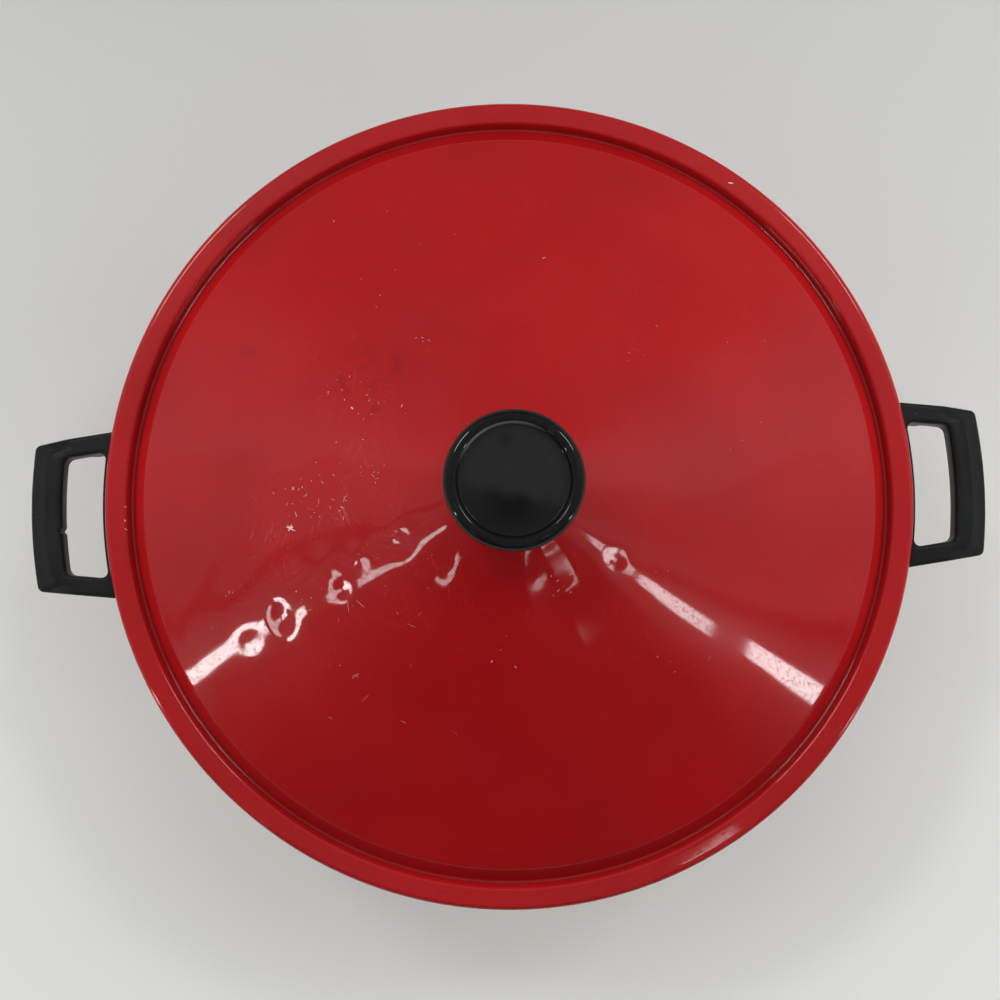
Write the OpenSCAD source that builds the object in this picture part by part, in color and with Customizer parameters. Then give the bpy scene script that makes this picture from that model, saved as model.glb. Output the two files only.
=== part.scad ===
// Electric wok: a footed bowl with a heating element under it and a conical lid that lifts off.
// The origin is on the table, under the middle of the bowl. +Z is up, the handles lie along X
// and the inlet for the heat control faces -Y. All sizes are in millimetres.

/* [Bowl] */
// Inside diameter of the mouth
mouth_d = 341; // [326:1:356]
// Diameter of the flat bottom, inside
flat_d = 112; // [104:1:122]
// Inside radius of the curve between the bottom and the wall
bowl_curve_r = 98; // [90:1:106]
// Slope of the straight wall above the curve, in degrees
wall_slope = 60; // [56:1:64]
// Thickness of the bowl's sheet
bowl_t = 2; // [1.5:0.1:3]
// Width of the flat rim round the mouth
rim_w = 5.3; // [4.6:0.1:7]
// Height of the bowl's underside above the table
bowl_lift = 42; // [40:1:50]

/* [Lid] */
// Thickness of the lid's pressed sheet
lid_t = 1.4; // [1:0.1:2]
// Height of the cone, from the flange to the knob's seat
lid_rise = 70; // [55:1:90]
// How far the flange reaches out past the bowl's rim
lid_overhang = 2.2; // [2.1:0.1:4]
// Drop of the flange's turned-down edge
lid_lip = 4; // [3:0.1:5]
// Radius of the flat seat under the knob
knob_seat_r = 18; // [17.5:0.5:24]
// Distance from the bowl's mouth to the outer edge of the pressed groove
groove_inset = 2.1; // [2:0.1:4]
// Width of the groove, from the cone's foot to the flange
groove_w = 8.4; // [7.6:0.1:9.4]
// Width of the groove's floor
groove_floor_w = 1.2; // [1.1:0.1:1.8]
// Width of the groove's steep outer wall
groove_wall_w = 1.5; // [1.3:0.1:1.8]
// Depth of the groove below the flange
groove_depth = 4; // [3:0.1:5]
// Height of the cone's foot above the flange
cone_foot_h = 2.2; // [1:0.1:4]

/* [Knob] */
// Diameter of the knob's top
knob_d = 54; // [48:1:62]
// Height of the knob
knob_h = 27; // [25:1:34]
// Width of the raised ring round the dished top
knob_ring_w = 4.8; // [4:0.1:7]
// Depth of the dish
knob_dish = 2.5; // [1.5:0.1:4]
// Diameter of the neck
knob_neck_d = 25; // [22:1:30]
// Diameter of the foot that stands on the lid
knob_foot_d = 31; // [28:1:34]
// Height of the foot's straight edge
knob_foot_h = 3; // [2:0.5:5]
// Diameter of the threaded insert
insert_d = 8; // [7:0.5:10]
// Length of the threaded insert
insert_l = 12; // [10:0.5:14]

/* [Handles] */
// How far a handle reaches out past the lid
handle_reach = 35; // [30:1:45]
// Width of a handle beside the bowl
handle_w = 74; // [68:1:84]
// Width of a handle at its outer corners
handle_tip_w = 65; // [58:1:72]
// Width of the arms
arm_w = 8.8; // [8:0.1:11]
// Width of the grip bar, along the reach
grip_w = 15; // [13:0.5:18]
// Width of the back bar past the lid's edge
back_bar = 2; // [1:0.5:4]
// Height of the back bar
back_h = 14; // [13:0.5:18]
// Height of the arms
arm_h = 10; // [8:0.5:12]
// Depth of the grip's outer edge below the handle's top
grip_h = 14; // [12:0.5:17]
// Drop of the grip's outer edge
grip_drop = 6; // [3:0.5:8]
// Drop of a handle's top below the bowl's rim
handle_drop = 3.2; // [2.8:0.1:6]
// Thickness of the handle brackets
bracket_t = 1.6; // [1.2:0.1:2.4]
// Length of a bracket's welded leg, down the wall
bracket_leg = 16; // [12:1:22]
// Half of the angle that a bracket spans round the bowl, in degrees
bracket_half_angle = 11; // [10.5:0.5:11.5]
// Half of the distance between a handle's two screws
handle_screw_y = 24; // [20:1:26]

/* [Heating] */
// Diameter of the heating tube
element_d = 8; // [7:0.5:9]
// Radius of the heating tube's ring
element_r = 46; // [42:1:48]
// Radius of the bends where the tube turns to its legs
element_bend_r = 12; // [10:1:14]
// Distance between the two terminal pins
pin_pitch = 28; // [26:1:32]
// Diameter of the terminal pins
pin_d = 4.8; // [4.4:0.1:5.4]
// Length of the terminal pins inside the guard
pin_l = 15; // [13:0.5:16]
// Bore of the socket for the heat control's probe
probe_d = 6.4; // [5.8:0.1:7]
// Length of the probe's bore
probe_l = 64; // [56:1:68]
// Wall of the probe's socket
probe_wall = 1.1; // [0.9:0.1:1.4]
// Inside width of the terminal guard
guard_w = 52; // [50:1:56]
// Inside height of the terminal guard
guard_h = 17; // [16:0.5:18]
// Depth of the terminal guard
guard_l = 20; // [19:0.5:23]
// Thickness of the guard's sheet
guard_t = 1.2; // [0.8:0.1:1.5]
// Distance from the axis to the back of the terminal guard
guard_back = 86; // [85:0.5:90]
// Thickness of the heat reflector's sheet
reflector_t = 0.8; // [0.6:0.1:1.2]
// Depth of the heat reflector's dish
reflector_depth = 14; // [11:0.5:16]

/* [Base] */
// Outer diameter of the base's skirt at its foot
skirt_d = 228; // [224:1:244]
// Outer diameter of the base's skirt at its top
skirt_top_d = 206; // [202:1:212]
// Thickness of the skirt
skirt_t = 3; // [2.4:0.1:4]
// Height of the skirt's lower edge above the table
skirt_lift = 8; // [7:0.5:10]
// Gap between the skirt's upper edge and the bowl
skirt_gap = 0.8; // [0.5:0.1:2]
// Radius of the circle of the posts that carry the bowl
post_r = 78; // [76:0.5:80]
// Diameter of those posts
post_d = 18; // [17:0.5:20]
// Thickness of the ribs between the posts and the skirt
rib_t = 3; // [2:0.1:5]
// Diameter of the feet
foot_d = 18; // [16:0.5:20]
// Height of the feet
foot_h = 6; // [5:0.5:7]
// Number of cooling slots on each side of the skirt
slot_count = 7; // [5:1:8]
// Width of the cooling slots
slot_w = 4; // [3:0.5:5]
// Height of the cooling slots
slot_h = 17; // [12:1:20]

/* [Fasteners] */
// Diameter of the screws that hold the base
base_screw_d = 5; // [4:0.5:5.5]
// Diameter of the screws that hold the handles
handle_screw_d = 4; // [3:0.5:4.5]
// Diameter of the screws that hold the terminal guard
guard_screw_d = 3; // [2.5:0.5:3.5]
// Diameter of the screw that holds the knob
knob_screw_d = 4; // [3:0.5:5]
// Thickness of all flat washers
washer_t = 1; // [0.8:0.1:1.5]
// Thickness of the heat-proof spacers between the base and the bowl
spacer_t = 1.5; // [1:0.1:2.5]

/* [Fits] */
// Gap between the lid and the rim that it sits on
seat_gap = 0.25; // [0.2:0.05:0.4]
// Gap between pieces that are pressed, welded or moulded together
close_gap = 0.05; // [0.03:0.01:0.1]
// Gap between a handle and the bowl's wall
handle_gap = 0.3; // [0.2:0.05:0.6]
// Radial clearance of a screw in the holes that it passes through
screw_clearance = 0.3; // [0.2:0.05:0.5]

/* [Hidden] */
$fn = 64;

// Colours of the finishes
red_enamel = "#a81518";
black_phenolic = "#1b1c1d";
steel = "#b4b6b8";
aluminium = "#cdced0";
brass = "#b8963e";
ceramic = "#e6e0d4";
fibre = "#8a7c62";
rubber = "#232323";

// Smoothness of round stretches of an outline, in degrees for each step
arc_step = 10;
// How far a cut reaches past the face that it opens
cut_over = 1;
// Inside radius of the sharpest bend that a pressed sheet takes
sheet_bend = 0.3;

// Bowl
mouth_r = mouth_d / 2;
flat_r = flat_d / 2;
floor_z = bowl_lift + bowl_t;
wall_foot_r = flat_r + bowl_curve_r * tan(wall_slope / 2);
rim_z = floor_z + (mouth_r - wall_foot_r) * tan(wall_slope);
rim_r = mouth_r + rim_w;

// Height of the bowl's underside at radius r, on its curve
function underside_z(r) =
    floor_z + bowl_curve_r - sqrt(pow(bowl_curve_r + bowl_t, 2) - pow(max(r - flat_r, 0), 2));

// Outer radius of the bowl's straight wall at height z
function wall_r(z) = mouth_r - (rim_z - z) / tan(wall_slope) + bowl_t / sin(wall_slope);

// Lid
lid_r = rim_r + lid_overhang;
flange_z = rim_z + seat_gap + lid_t;
seat_z = flange_z + lid_rise;
groove_out_r = mouth_r - groove_inset;
groove_floor_r = groove_out_r - groove_wall_w;
cone_foot_r = groove_out_r - groove_w;
lid_bend_r = lid_t + sheet_bend;
groove_bend_r = 0.9;
cone_top_bend_r = 10;
lid_edge_bend = 1;
lid_edge_bend_r = lid_t + lid_edge_bend;

// Screws
function head_d(d) = 1.9 * d;
function head_h(d) = 0.6 * d;
function washer_d(d) = 2.2 * d;
function hole_d(d) = d + 2 * screw_clearance;
function thread_d(d) = d + 2 * close_gap;

// Knob
knob_r = knob_d / 2;
knob_top_z = seat_z + knob_h;
knob_side_h = 8;
knob_flare_z = knob_top_z - knob_side_h;
knob_waist_h = 4;
knob_waist_r = 4;
knob_flare_r = 4;
knob_foot_edge_r = 0.6;
knob_foot_top_r = 1;
knob_ring_out_r = 3;
knob_ring_in_r = 1.8;
knob_dish_taper = 1;
knob_dish_edge_r = 0.8;
insert_room = 2;
knob_washer_d = 12;
lid_hole_r = hole_d(knob_screw_d) / 2;

// Handles
handle_top_z = rim_z - handle_drop;
handle_back_z = handle_top_z - back_h;
handle_r = lid_r + handle_reach;
window_in_r = lid_r + back_bar;
window_out_r = handle_r - grip_w;
handle_back_r = wall_r(handle_top_z - back_h / 2) + handle_gap;
handle_corner_r = 2.5;
handle_edge_r = 1.6;
// Length over which the back bar narrows to an arm
arm_taper = 6;
window_corner_r = 3.2;
// Steps on each rounded corner, and on the back, side, grip and side of a handle
corner_steps = 3;
side_steps = [8, 6, 8, 6];
// Place, in a section's loop, of the point in the middle of its top
crease_at = 3 * (corner_steps + 1);
bracket_inset = 1;
bracket_out_r = window_in_r - bracket_inset;
// The screws stand off the middle of the back bar, where it is thicker higher up
handle_screw_shift = 2;
handle_screw_r = (wall_r(handle_back_z) + handle_gap + window_in_r) / 2 + handle_screw_shift;
handle_screw_cover = 5;
handle_screw_bite = back_h - handle_screw_cover;
// Room that a blind hole has past the end of its screw or stem
blind_room = 1;
handle_screw_x = sqrt(pow(handle_screw_r, 2) - pow(handle_screw_y, 2));
bracket_z = handle_back_z - bracket_t;

// Skirt
skirt_r = skirt_d / 2;
skirt_top_r = skirt_top_d / 2;
skirt_top_z = underside_z(skirt_top_r - skirt_t) - skirt_gap;
skirt_foot_h = 6;
skirt_lip_w = 5;
skirt_bend_r = 12;
// Room round the terminal guard in its window
inlet_gap = 1.5;

// Heating
element_z = bowl_lift - element_d / 2 - close_gap;
leg_x = pin_pitch / 2;
// The legs are drawn down a little from the tube
leg_draw = 0.2;
leg_d = element_d - 2 * leg_draw;
bend_x = leg_x + element_bend_r;
bend_y = -sqrt(pow(element_r + element_bend_r, 2) - pow(bend_x, 2));
bend_angle = atan2(bend_y, bend_x);
// Hairline between the ring and its bends, in degrees round the ring
join_angle = 0.05;
bush_flange_l = 2.5;
bush_flange_w = 1.25;
bush_flange_d = element_d + 2 * bush_flange_w;
bush_d = element_d;
bush_nose_l = 2;
leg_end_y = -(guard_back - guard_t - bush_flange_l);
stem_draw = 0.3;
stem_d = pin_d - 2 * stem_draw;
bush_front_y = -(guard_back + bush_nose_l);
pin_tip_l = 1;
probe_r = probe_d / 2;
probe_out_r = probe_r + probe_wall;
probe_z = bowl_lift - probe_out_r - close_gap;
probe_mouth_l = 1;
probe_mouth_y = -(guard_back + probe_mouth_l);
probe_end_t = 2;
guard_front = guard_back + guard_l;
guard_gap = 0.8;
guard_top_z = underside_z(guard_back) - guard_gap;
guard_mid_z = guard_top_z - guard_t - guard_h / 2;
guard_out_w = guard_w + 2 * guard_t;
guard_out_h = guard_h + 2 * guard_t;
guard_corner_r = 2.5;
ear_corner_r = 2;
ear_w = 10;
ear_h = 11;
ear_x = guard_out_w / 2 + ear_w / 2;
guard_screw_bite = 6;

// Base
boss_drop = 4;
boss_z = bowl_lift - boss_drop;
boss_d = 14;
spacer_z = boss_z - spacer_t;
reflector_z = spacer_z - reflector_t;
post_rise = 3;
post_z = skirt_lift + post_rise;
post_angles = [45, 135, 225, 315];
screw_recess = 6;
screw_seat_z = post_z + screw_recess;
base_screw_bite = boss_drop;
reflector_floor_z = reflector_z - reflector_depth;
reflector_room = 6;
reflector_floor_r = element_r + element_d / 2 + reflector_room;
reflector_gap = 2;
reflector_rim_r = post_r - post_d / 2 - reflector_gap;
reflector_rim_w = 2;
reflector_bend_r = 4;
// Room beside the legs in the notch at the reflector's front
notch_room = 2;
reflector_ear_d = post_d - reflector_gap;
reflector_arm_w = reflector_ear_d / 2;
// The feet stand far enough in for their pads to stay inside the skirt
foot_inset = 3.5;
foot_r = skirt_r - foot_d / 2 - foot_inset;
pad_edge = 1;
pad_d = foot_d + 2 * pad_edge;
foot_taper = 2;
pad_h = 14;
stem_foot_d = 8;
stem_foot_h = 6;
slot_bar_w = 5;
slot_pitch = slot_w + slot_bar_w;
slot_rise = 6;
// Flat stretch between the rounded corners at a slot's end
slot_end_flat = 0.4;
slot_end_r = (slot_w - slot_end_flat) / 2;
slot_z = skirt_lift + skirt_foot_h + slot_rise;

// Points of a unit direction, a turn to the right of it, and a step between two points
function unit(v) = v / norm(v);
function right_of(v) = [v[1], -v[0]];
function between(a, b, share) = a + (b - a) * share;
function flat(p) = [p[0], p[1]];

// Arc that rounds the corner b of the line a-b-c, in a number of steps
function corner_arc(a, b, c, r, steps) =
    let (
        u = unit(a - b),
        v = unit(c - b),
        half = acos(u * v) / 2,
        centre = b + unit(u + v) * r / sin(half),
        start = b + u * r / tan(half) - centre,
        turn = (180 - 2 * half) * sign(u[0] * v[1] - u[1] * v[0]) * -1
    )
    [for (i = [0 : steps])
        let (t = turn * i / steps)
        centre + [start[0] * cos(t) - start[1] * sin(t), start[0] * sin(t) + start[1] * cos(t)]];

// Angle that a line turns through at the corner b
function turn_at(a, b, c) = acos(min(1, max(-1, unit(b - a) * unit(c - b))));

// Open outline through corners [x, y, radius], each rounded by its own radius
function outline(corners) =
    [for (i = [0 : len(corners) - 1])
        let (b = flat(corners[i]), r = corners[i][2])
        each r == 0 || i == 0 || i == len(corners) - 1
            ? [b]
            : let (a = flat(corners[i - 1]), c = flat(corners[i + 1]))
              corner_arc(a, b, c, r, max(2, ceil(turn_at(a, b, c) / arc_step)))];

// The same outline moved to its right by a distance
function beside(points, distance) =
    let (last = len(points) - 1)
    [for (i = [0 : last])
        let (
            before = right_of(unit(points[max(i, 1)] - points[max(i, 1) - 1])),
            after = right_of(unit(points[min(i, last - 1) + 1] - points[min(i, last - 1)]))
        )
        points[i] + (before + after) * distance / (1 + before * after)];

function reversed(points) = [for (i = [len(points) - 1 : -1 : 0]) points[i]];

// Outline of a sheet whose face follows corners, with its thickness to the right
function sheet(corners, t) =
    let (face = outline(corners))
    concat(face, reversed(beside(face, t)));

// Closed loop through corners [x, y, radius], with a number of steps along each side
function loop(corners, steps) =
    let (n = len(corners))
    [for (i = [0 : n - 1])
        let (
            a = flat(corners[(i + n - 1) % n]),
            b = flat(corners[i]),
            c = flat(corners[(i + 1) % n]),
            d = flat(corners[(i + 2) % n]),
            here = corner_arc(a, b, c, corners[i][2], corner_steps),
            next = corner_arc(b, c, d, corners[(i + 1) % n][2], corner_steps)
        )
        each concat(here, [for (j = [1 : 1 : steps[i] - 1])
            between(here[corner_steps], next[0], j / steps[i])])];

// Rectangle with rounded corners, round the origin
function rounded(width, height, r) =
    loop([
        [width / 2, height / 2, r],
        [-width / 2, height / 2, r],
        [-width / 2, -height / 2, r],
        [width / 2, -height / 2, r]
    ], [1, 1, 1, 1]);

// Ring round the Z axis
module ring(inner_r, outer_r, z, h) {
    translate([0, 0, z])
        difference() {
            cylinder(r = outer_r, h = h);
            translate([0, 0, -cut_over])
                cylinder(r = inner_r, h = h + 2 * cut_over);
        }
}

// Pan-head screw that points up from z, the height of the head's seat
module screw(d, length, z) {
    translate([0, 0, z - head_h(d)])
        cylinder(d = head_d(d), h = head_h(d));
    translate([0, 0, z - cut_over / 2])
        cylinder(d = d, h = length + cut_over / 2);
}

module at_posts() {
    for (a = post_angles)
        rotate([0, 0, a])
            translate([post_r, 0, 0])
                children();
}

module at_handle_screws() {
    for (side = [0, 180], y = [-handle_screw_y, handle_screw_y])
        rotate([0, 0, side])
            translate([handle_screw_x, y, 0])
                children();
}

// Lid

lid_corners = [
    [lid_hole_r, seat_z, 0],
    [knob_seat_r, seat_z, cone_top_bend_r],
    [cone_foot_r, flange_z + cone_foot_h, lid_bend_r],
    [groove_floor_r - groove_floor_w, flange_z - groove_depth, groove_bend_r],
    [groove_floor_r, flange_z - groove_depth, groove_bend_r],
    [groove_out_r, flange_z, lid_bend_r],
    [lid_r, flange_z, lid_edge_bend_r],
    [lid_r, flange_z - lid_lip, 0]
];

module lid_shell() {
    color(red_enamel)
        rotate_extrude()
            polygon(sheet(lid_corners, lid_t));
}

knob_corners = [
    [0, seat_z, 0],
    [knob_foot_d / 2, seat_z, knob_foot_edge_r],
    [knob_foot_d / 2, seat_z + knob_foot_h, knob_foot_top_r],
    [knob_neck_d / 2, seat_z + knob_foot_h + knob_waist_h, knob_waist_r],
    [knob_r, knob_flare_z, knob_flare_r],
    [knob_r, knob_top_z, knob_ring_out_r],
    [knob_r - knob_ring_w, knob_top_z, knob_ring_in_r],
    [knob_r - knob_ring_w - knob_dish_taper, knob_top_z - knob_dish, knob_dish_edge_r],
    [0, knob_top_z - knob_dish, 0]
];

module lid_knob() {
    color(black_phenolic)
        difference() {
            rotate_extrude()
                polygon(outline(knob_corners));
            translate([0, 0, seat_z - cut_over])
                cylinder(d = insert_d + 2 * close_gap, h = insert_l + insert_room + cut_over);
        }
}

module knob_insert() {
    color(brass)
        ring(thread_d(knob_screw_d) / 2, insert_d / 2, seat_z + close_gap, insert_l);
}

module knob_washer() {
    color(steel)
        ring(lid_hole_r, knob_washer_d / 2, seat_z - lid_t - washer_t, washer_t);
}

module knob_screw() {
    color(steel)
        screw(knob_screw_d, washer_t + lid_t + insert_l - blind_room, seat_z - lid_t - washer_t);
}

// Bowl

bowl_corners = [
    [0, floor_z, 0],
    [wall_foot_r, floor_z, bowl_curve_r],
    [mouth_r, rim_z, bowl_t + sheet_bend],
    [rim_r, rim_z, 0]
];

module wok_bowl() {
    color(red_enamel)
        rotate_extrude()
            polygon(sheet(bowl_corners, bowl_t));
}

// The bowl's outside as a full solid, to shape what fits against it
module bowl_block(gap) {
    skin = beside(outline(bowl_corners), bowl_t + gap);
    rotate_extrude()
        polygon(concat(skin, [[0, rim_z]]));
}

// Handles

// Half width of a handle at radius r
function half_width(r) = between(handle_w, handle_tip_w, (r - lid_r) / handle_reach) / 2;

handle_corners = [
    [handle_back_r, half_width(handle_back_r), handle_corner_r],
    [handle_back_r, -half_width(handle_back_r), handle_corner_r],
    [handle_r, -half_width(handle_r), handle_corner_r],
    [handle_r, half_width(handle_r), handle_corner_r]
];
window_corners = [
    [window_in_r, half_width(window_in_r) - arm_w, window_corner_r],
    [window_in_r, arm_w - half_width(window_in_r), window_corner_r],
    [window_out_r, arm_w - half_width(window_out_r), window_corner_r],
    [window_out_r, half_width(window_out_r) - arm_w, window_corner_r]
];

// Depth of the handle below its top, where its edge has radius r
function section_h(r) = lookup(r, [
    [window_in_r, back_h],
    [window_in_r + arm_taper, arm_h],
    [window_out_r, arm_h],
    [handle_r - handle_corner_r, grip_h]
]);

// Drop of the handle's outer edge, where that edge has radius r
function edge_drop(r) = lookup(r, [[window_out_r, 0], [handle_r - handle_corner_r, grip_drop]]);

// Radius of the handle's edge at height z: the back follows the bowl's wall
function edge_r(r, z) =
    let (share = lookup(r, [[handle_back_r, 1], [lid_r, 0]]))
    between(r, wall_r(z) + handle_gap, share);

// Section of the handle between a point of its edge and a point of its window, as [x, y, z]
function handle_section(edge, window) =
    let (
        length = norm(window - edge),
        corners = [
            [0, handle_top_z - section_h(edge[0]), handle_edge_r],
            [length, handle_top_z - section_h(min(edge[0], window_out_r)), handle_edge_r],
            [length, handle_top_z, handle_edge_r],
            [0, handle_top_z - edge_drop(edge[0]), handle_edge_r]
        ],
        points = loop(corners, [1, 1, 2, 1])
    )
    [for (i = [0 : len(points) - 1])
        let (
            // The inner half of the top stays level, so the grip bends down along its middle
            z = i == crease_at ? handle_top_z : points[i][1],
            at = between([edge_r(edge[0], z), edge[1]], window, points[i][0] / length)
        )
        [sqrt(pow(at[0], 2) - pow(at[1], 2)), at[1], z]];

module handle() {
    edge = loop(handle_corners, side_steps);
    window = loop(window_corners, side_steps);
    n = len(edge);
    sections = [for (i = [0 : n - 1]) handle_section(edge[i], window[i])];
    m = len(sections[0]);
    faces = [for (i = [0 : n - 1], j = [0 : m - 1])
        let (
            a = i * m + j,
            b = i * m + (j + 1) % m,
            c = (i + 1) % n * m + (j + 1) % m,
            d = (i + 1) % n * m + j
        )
        each [[a, b, c], [a, c, d]]];
    difference() {
        polyhedron([for (s = sections) each s], faces);
        for (y = [-handle_screw_y, handle_screw_y])
            translate([handle_screw_x, y, handle_back_z - cut_over])
                cylinder(d = thread_d(handle_screw_d), h = handle_screw_bite + blind_room + cut_over);
    }
}

module right_handle() {
    color(black_phenolic)
        handle();
}

module left_handle() {
    color(black_phenolic)
        rotate([0, 0, 180])
            handle();
}

// Bent strip: its leg is welded to the wall and its shelf carries the handle
module bracket() {
    leg_z = bracket_z - bracket_leg;
    run = bracket_t / sin(wall_slope);
    difference() {
        rotate([0, 0, -bracket_half_angle])
            rotate_extrude(angle = 2 * bracket_half_angle)
                polygon([
                    [wall_r(leg_z) + close_gap, leg_z],
                    [wall_r(leg_z) + close_gap + run, leg_z],
                    [wall_r(bracket_z) + close_gap + run, bracket_z],
                    [bracket_out_r, bracket_z],
                    [bracket_out_r, handle_back_z],
                    [wall_r(handle_back_z) + close_gap, handle_back_z]
                ]);
        for (y = [-handle_screw_y, handle_screw_y])
            translate([handle_screw_x, y, bracket_z - cut_over])
                cylinder(d = hole_d(handle_screw_d), h = bracket_t + 2 * cut_over);
    }
}

module right_bracket() {
    color(steel)
        bracket();
}

module left_bracket() {
    color(steel)
        rotate([0, 0, 180])
            bracket();
}

module handle_washers() {
    color(steel)
        at_handle_screws()
            ring(hole_d(handle_screw_d) / 2, washer_d(handle_screw_d) / 2, bracket_z - washer_t, washer_t);
}

module handle_screws() {
    color(steel)
        at_handle_screws()
            screw(handle_screw_d, washer_t + bracket_t + handle_screw_bite, bracket_z - washer_t);
}

// Heating

// One bend and one leg of the heating tube, on the +X side
module element_leg() {
    translate([bend_x, bend_y, element_z])
        rotate([0, 0, 180 + bend_angle])
            rotate_extrude(angle = -bend_angle)
                translate([element_bend_r, 0])
                    circle(d = element_d);
    translate([leg_x, bend_y + cut_over, element_z])
        rotate([90, 0, 0])
            cylinder(d = leg_d, h = bend_y - leg_end_y + cut_over);
}

module heating_element() {
    color(steel)
        union() {
            translate([0, 0, element_z])
                rotate([0, 0, bend_angle + join_angle])
                    rotate_extrude(angle = 180 - 2 * bend_angle - 2 * join_angle)
                        translate([element_r, 0])
                            circle(d = element_d);
            element_leg();
            mirror([1, 0, 0])
                element_leg();
        }
}

// Puts a piece on each terminal, pointing out along -Y from the end of the heating tube
module at_terminals() {
    for (x = [-leg_x, leg_x])
        translate([x, leg_end_y, element_z])
            rotate([90, 0, 0])
                children();
}

module terminal_pins() {
    stem_l = leg_end_y - bush_front_y;
    color(steel)
        at_terminals() {
            cylinder(d = stem_d, h = stem_l + cut_over);
            translate([0, 0, stem_l])
                cylinder(d = pin_d, h = pin_l);
            translate([0, 0, stem_l + pin_l])
                cylinder(d1 = pin_d, d2 = pin_d - 2 * pin_tip_l, h = pin_tip_l);
        }
}

module terminal_insulators() {
    color(ceramic)
        at_terminals() {
            ring(stem_d / 2 + close_gap, bush_flange_d / 2, 0, bush_flange_l);
            ring(stem_d / 2 + close_gap, bush_d / 2, bush_flange_l - cut_over / 2,
                leg_end_y - bush_front_y - bush_flange_l + cut_over / 2);
        }
}

module probe_socket() {
    color(aluminium)
        translate([0, probe_mouth_y, probe_z])
            rotate([-90, 0, 0])
                difference() {
                    cylinder(r = probe_out_r, h = probe_l + probe_end_t);
                    translate([0, 0, -cut_over])
                        cylinder(r = probe_r, h = probe_l + cut_over);
                }
}

// Bar along Y from y0 to y1, with rounded corners, centred on x and z
module bar(x, y0, y1, z, width, height, r) {
    translate([x, y1, z])
        rotate([90, 0, 0])
            linear_extrude(y1 - y0)
                polygon(rounded(width, height, r));
}

module terminal_guard() {
    color(steel)
        difference() {
            union() {
                bar(0, -guard_front, -guard_back + guard_t, guard_mid_z, guard_out_w, guard_out_h,
                    guard_corner_r + guard_t);
                bar(0, -guard_back, -guard_back + guard_t, guard_mid_z, guard_out_w + 2 * ear_w, ear_h,
                    ear_corner_r);
            }
            bar(0, -guard_front - cut_over, -guard_back, guard_mid_z, guard_w, guard_h, guard_corner_r);
            at_terminals()
                cylinder(d = bush_d + 2 * close_gap, h = guard_l);
            translate([0, 0, probe_z])
                rotate([90, 0, 0])
                    cylinder(r = probe_out_r + close_gap, h = guard_front);
            for (x = [-ear_x, ear_x])
                translate([x, 0, guard_mid_z])
                    rotate([90, 0, 0])
                        cylinder(d = hole_d(guard_screw_d), h = guard_front);
        }
}

module guard_screws() {
    color(steel)
        for (x = [-ear_x, ear_x])
            translate([x, -guard_back + guard_t, guard_mid_z])
                rotate([90, 0, 0])
                    screw(guard_screw_d, guard_t + guard_screw_bite, 0);
}

reflector_corners = [
    [0, reflector_floor_z + reflector_t, 0],
    [reflector_floor_r, reflector_floor_z + reflector_t, reflector_bend_r],
    [reflector_rim_r - reflector_rim_w, reflector_z + reflector_t, reflector_t + sheet_bend],
    [reflector_rim_r, reflector_z + reflector_t, 0]
];

module heat_reflector() {
    color(aluminium)
        difference() {
            union() {
                rotate_extrude()
                    polygon(sheet(reflector_corners, reflector_t));
                for (a = post_angles)
                    rotate([0, 0, a])
                        translate([reflector_rim_r - cut_over, -reflector_arm_w / 2, reflector_z])
                            cube([post_r - reflector_rim_r + cut_over, reflector_arm_w, reflector_t]);
                at_posts()
                    translate([0, 0, reflector_z])
                        cylinder(d = reflector_ear_d, h = reflector_t);
            }
            at_posts()
                translate([0, 0, reflector_z - cut_over])
                    cylinder(d = hole_d(base_screw_d), h = reflector_t + 2 * cut_over);
            bar(0, -reflector_rim_r - cut_over, -element_r + element_d, reflector_z,
                pin_pitch + bush_flange_d + 2 * notch_room, 2 * element_d, notch_room);
        }
}

// Base

module base_bosses() {
    color(aluminium)
        at_posts()
            difference() {
                translate([0, 0, boss_z])
                    cylinder(d = boss_d, h = boss_drop + bowl_t + boss_d);
                translate([-post_r, 0, 0])
                    bowl_block(0);
                translate([0, 0, boss_z - cut_over])
                    cylinder(d = thread_d(base_screw_d), h = base_screw_bite + blind_room + cut_over);
            }
}

module heat_spacers() {
    color(fibre)
        at_posts()
            ring(hole_d(base_screw_d) / 2, boss_d / 2, spacer_z, spacer_t);
}

module base_washers() {
    color(steel)
        at_posts()
            ring(hole_d(base_screw_d) / 2, washer_d(base_screw_d) / 2, screw_seat_z - washer_t, washer_t);
}

module base_screws() {
    color(steel)
        at_posts()
            screw(base_screw_d, boss_z - screw_seat_z + washer_t + base_screw_bite,
                screw_seat_z - washer_t);
}

skirt_corners = [
    [skirt_top_r - skirt_lip_w, skirt_top_z, 0],
    [skirt_top_r, skirt_top_z, skirt_t + sheet_bend],
    [skirt_r, skirt_lift + skirt_foot_h, skirt_bend_r],
    [skirt_r, skirt_lift, 0]
];

// The space inside the skirt, up to the middle of its wall, which holds what is moulded to it
module skirt_inside() {
    inner = beside(outline(skirt_corners), skirt_t / 2);
    rotate_extrude()
        polygon(concat(inner, [[0, skirt_lift], [0, skirt_top_z - skirt_t / 2]]));
}

module cooling_slots() {
    for (side = [0, 90, 180], i = [0 : slot_count - 1])
        rotate([0, 0, side])
            translate([0, (i - (slot_count - 1) / 2) * slot_pitch, slot_z + slot_h / 2])
                rotate([90, 0, 90])
                    linear_extrude(skirt_r + cut_over)
                        polygon(rounded(slot_w, slot_h, slot_end_r));
}

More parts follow.
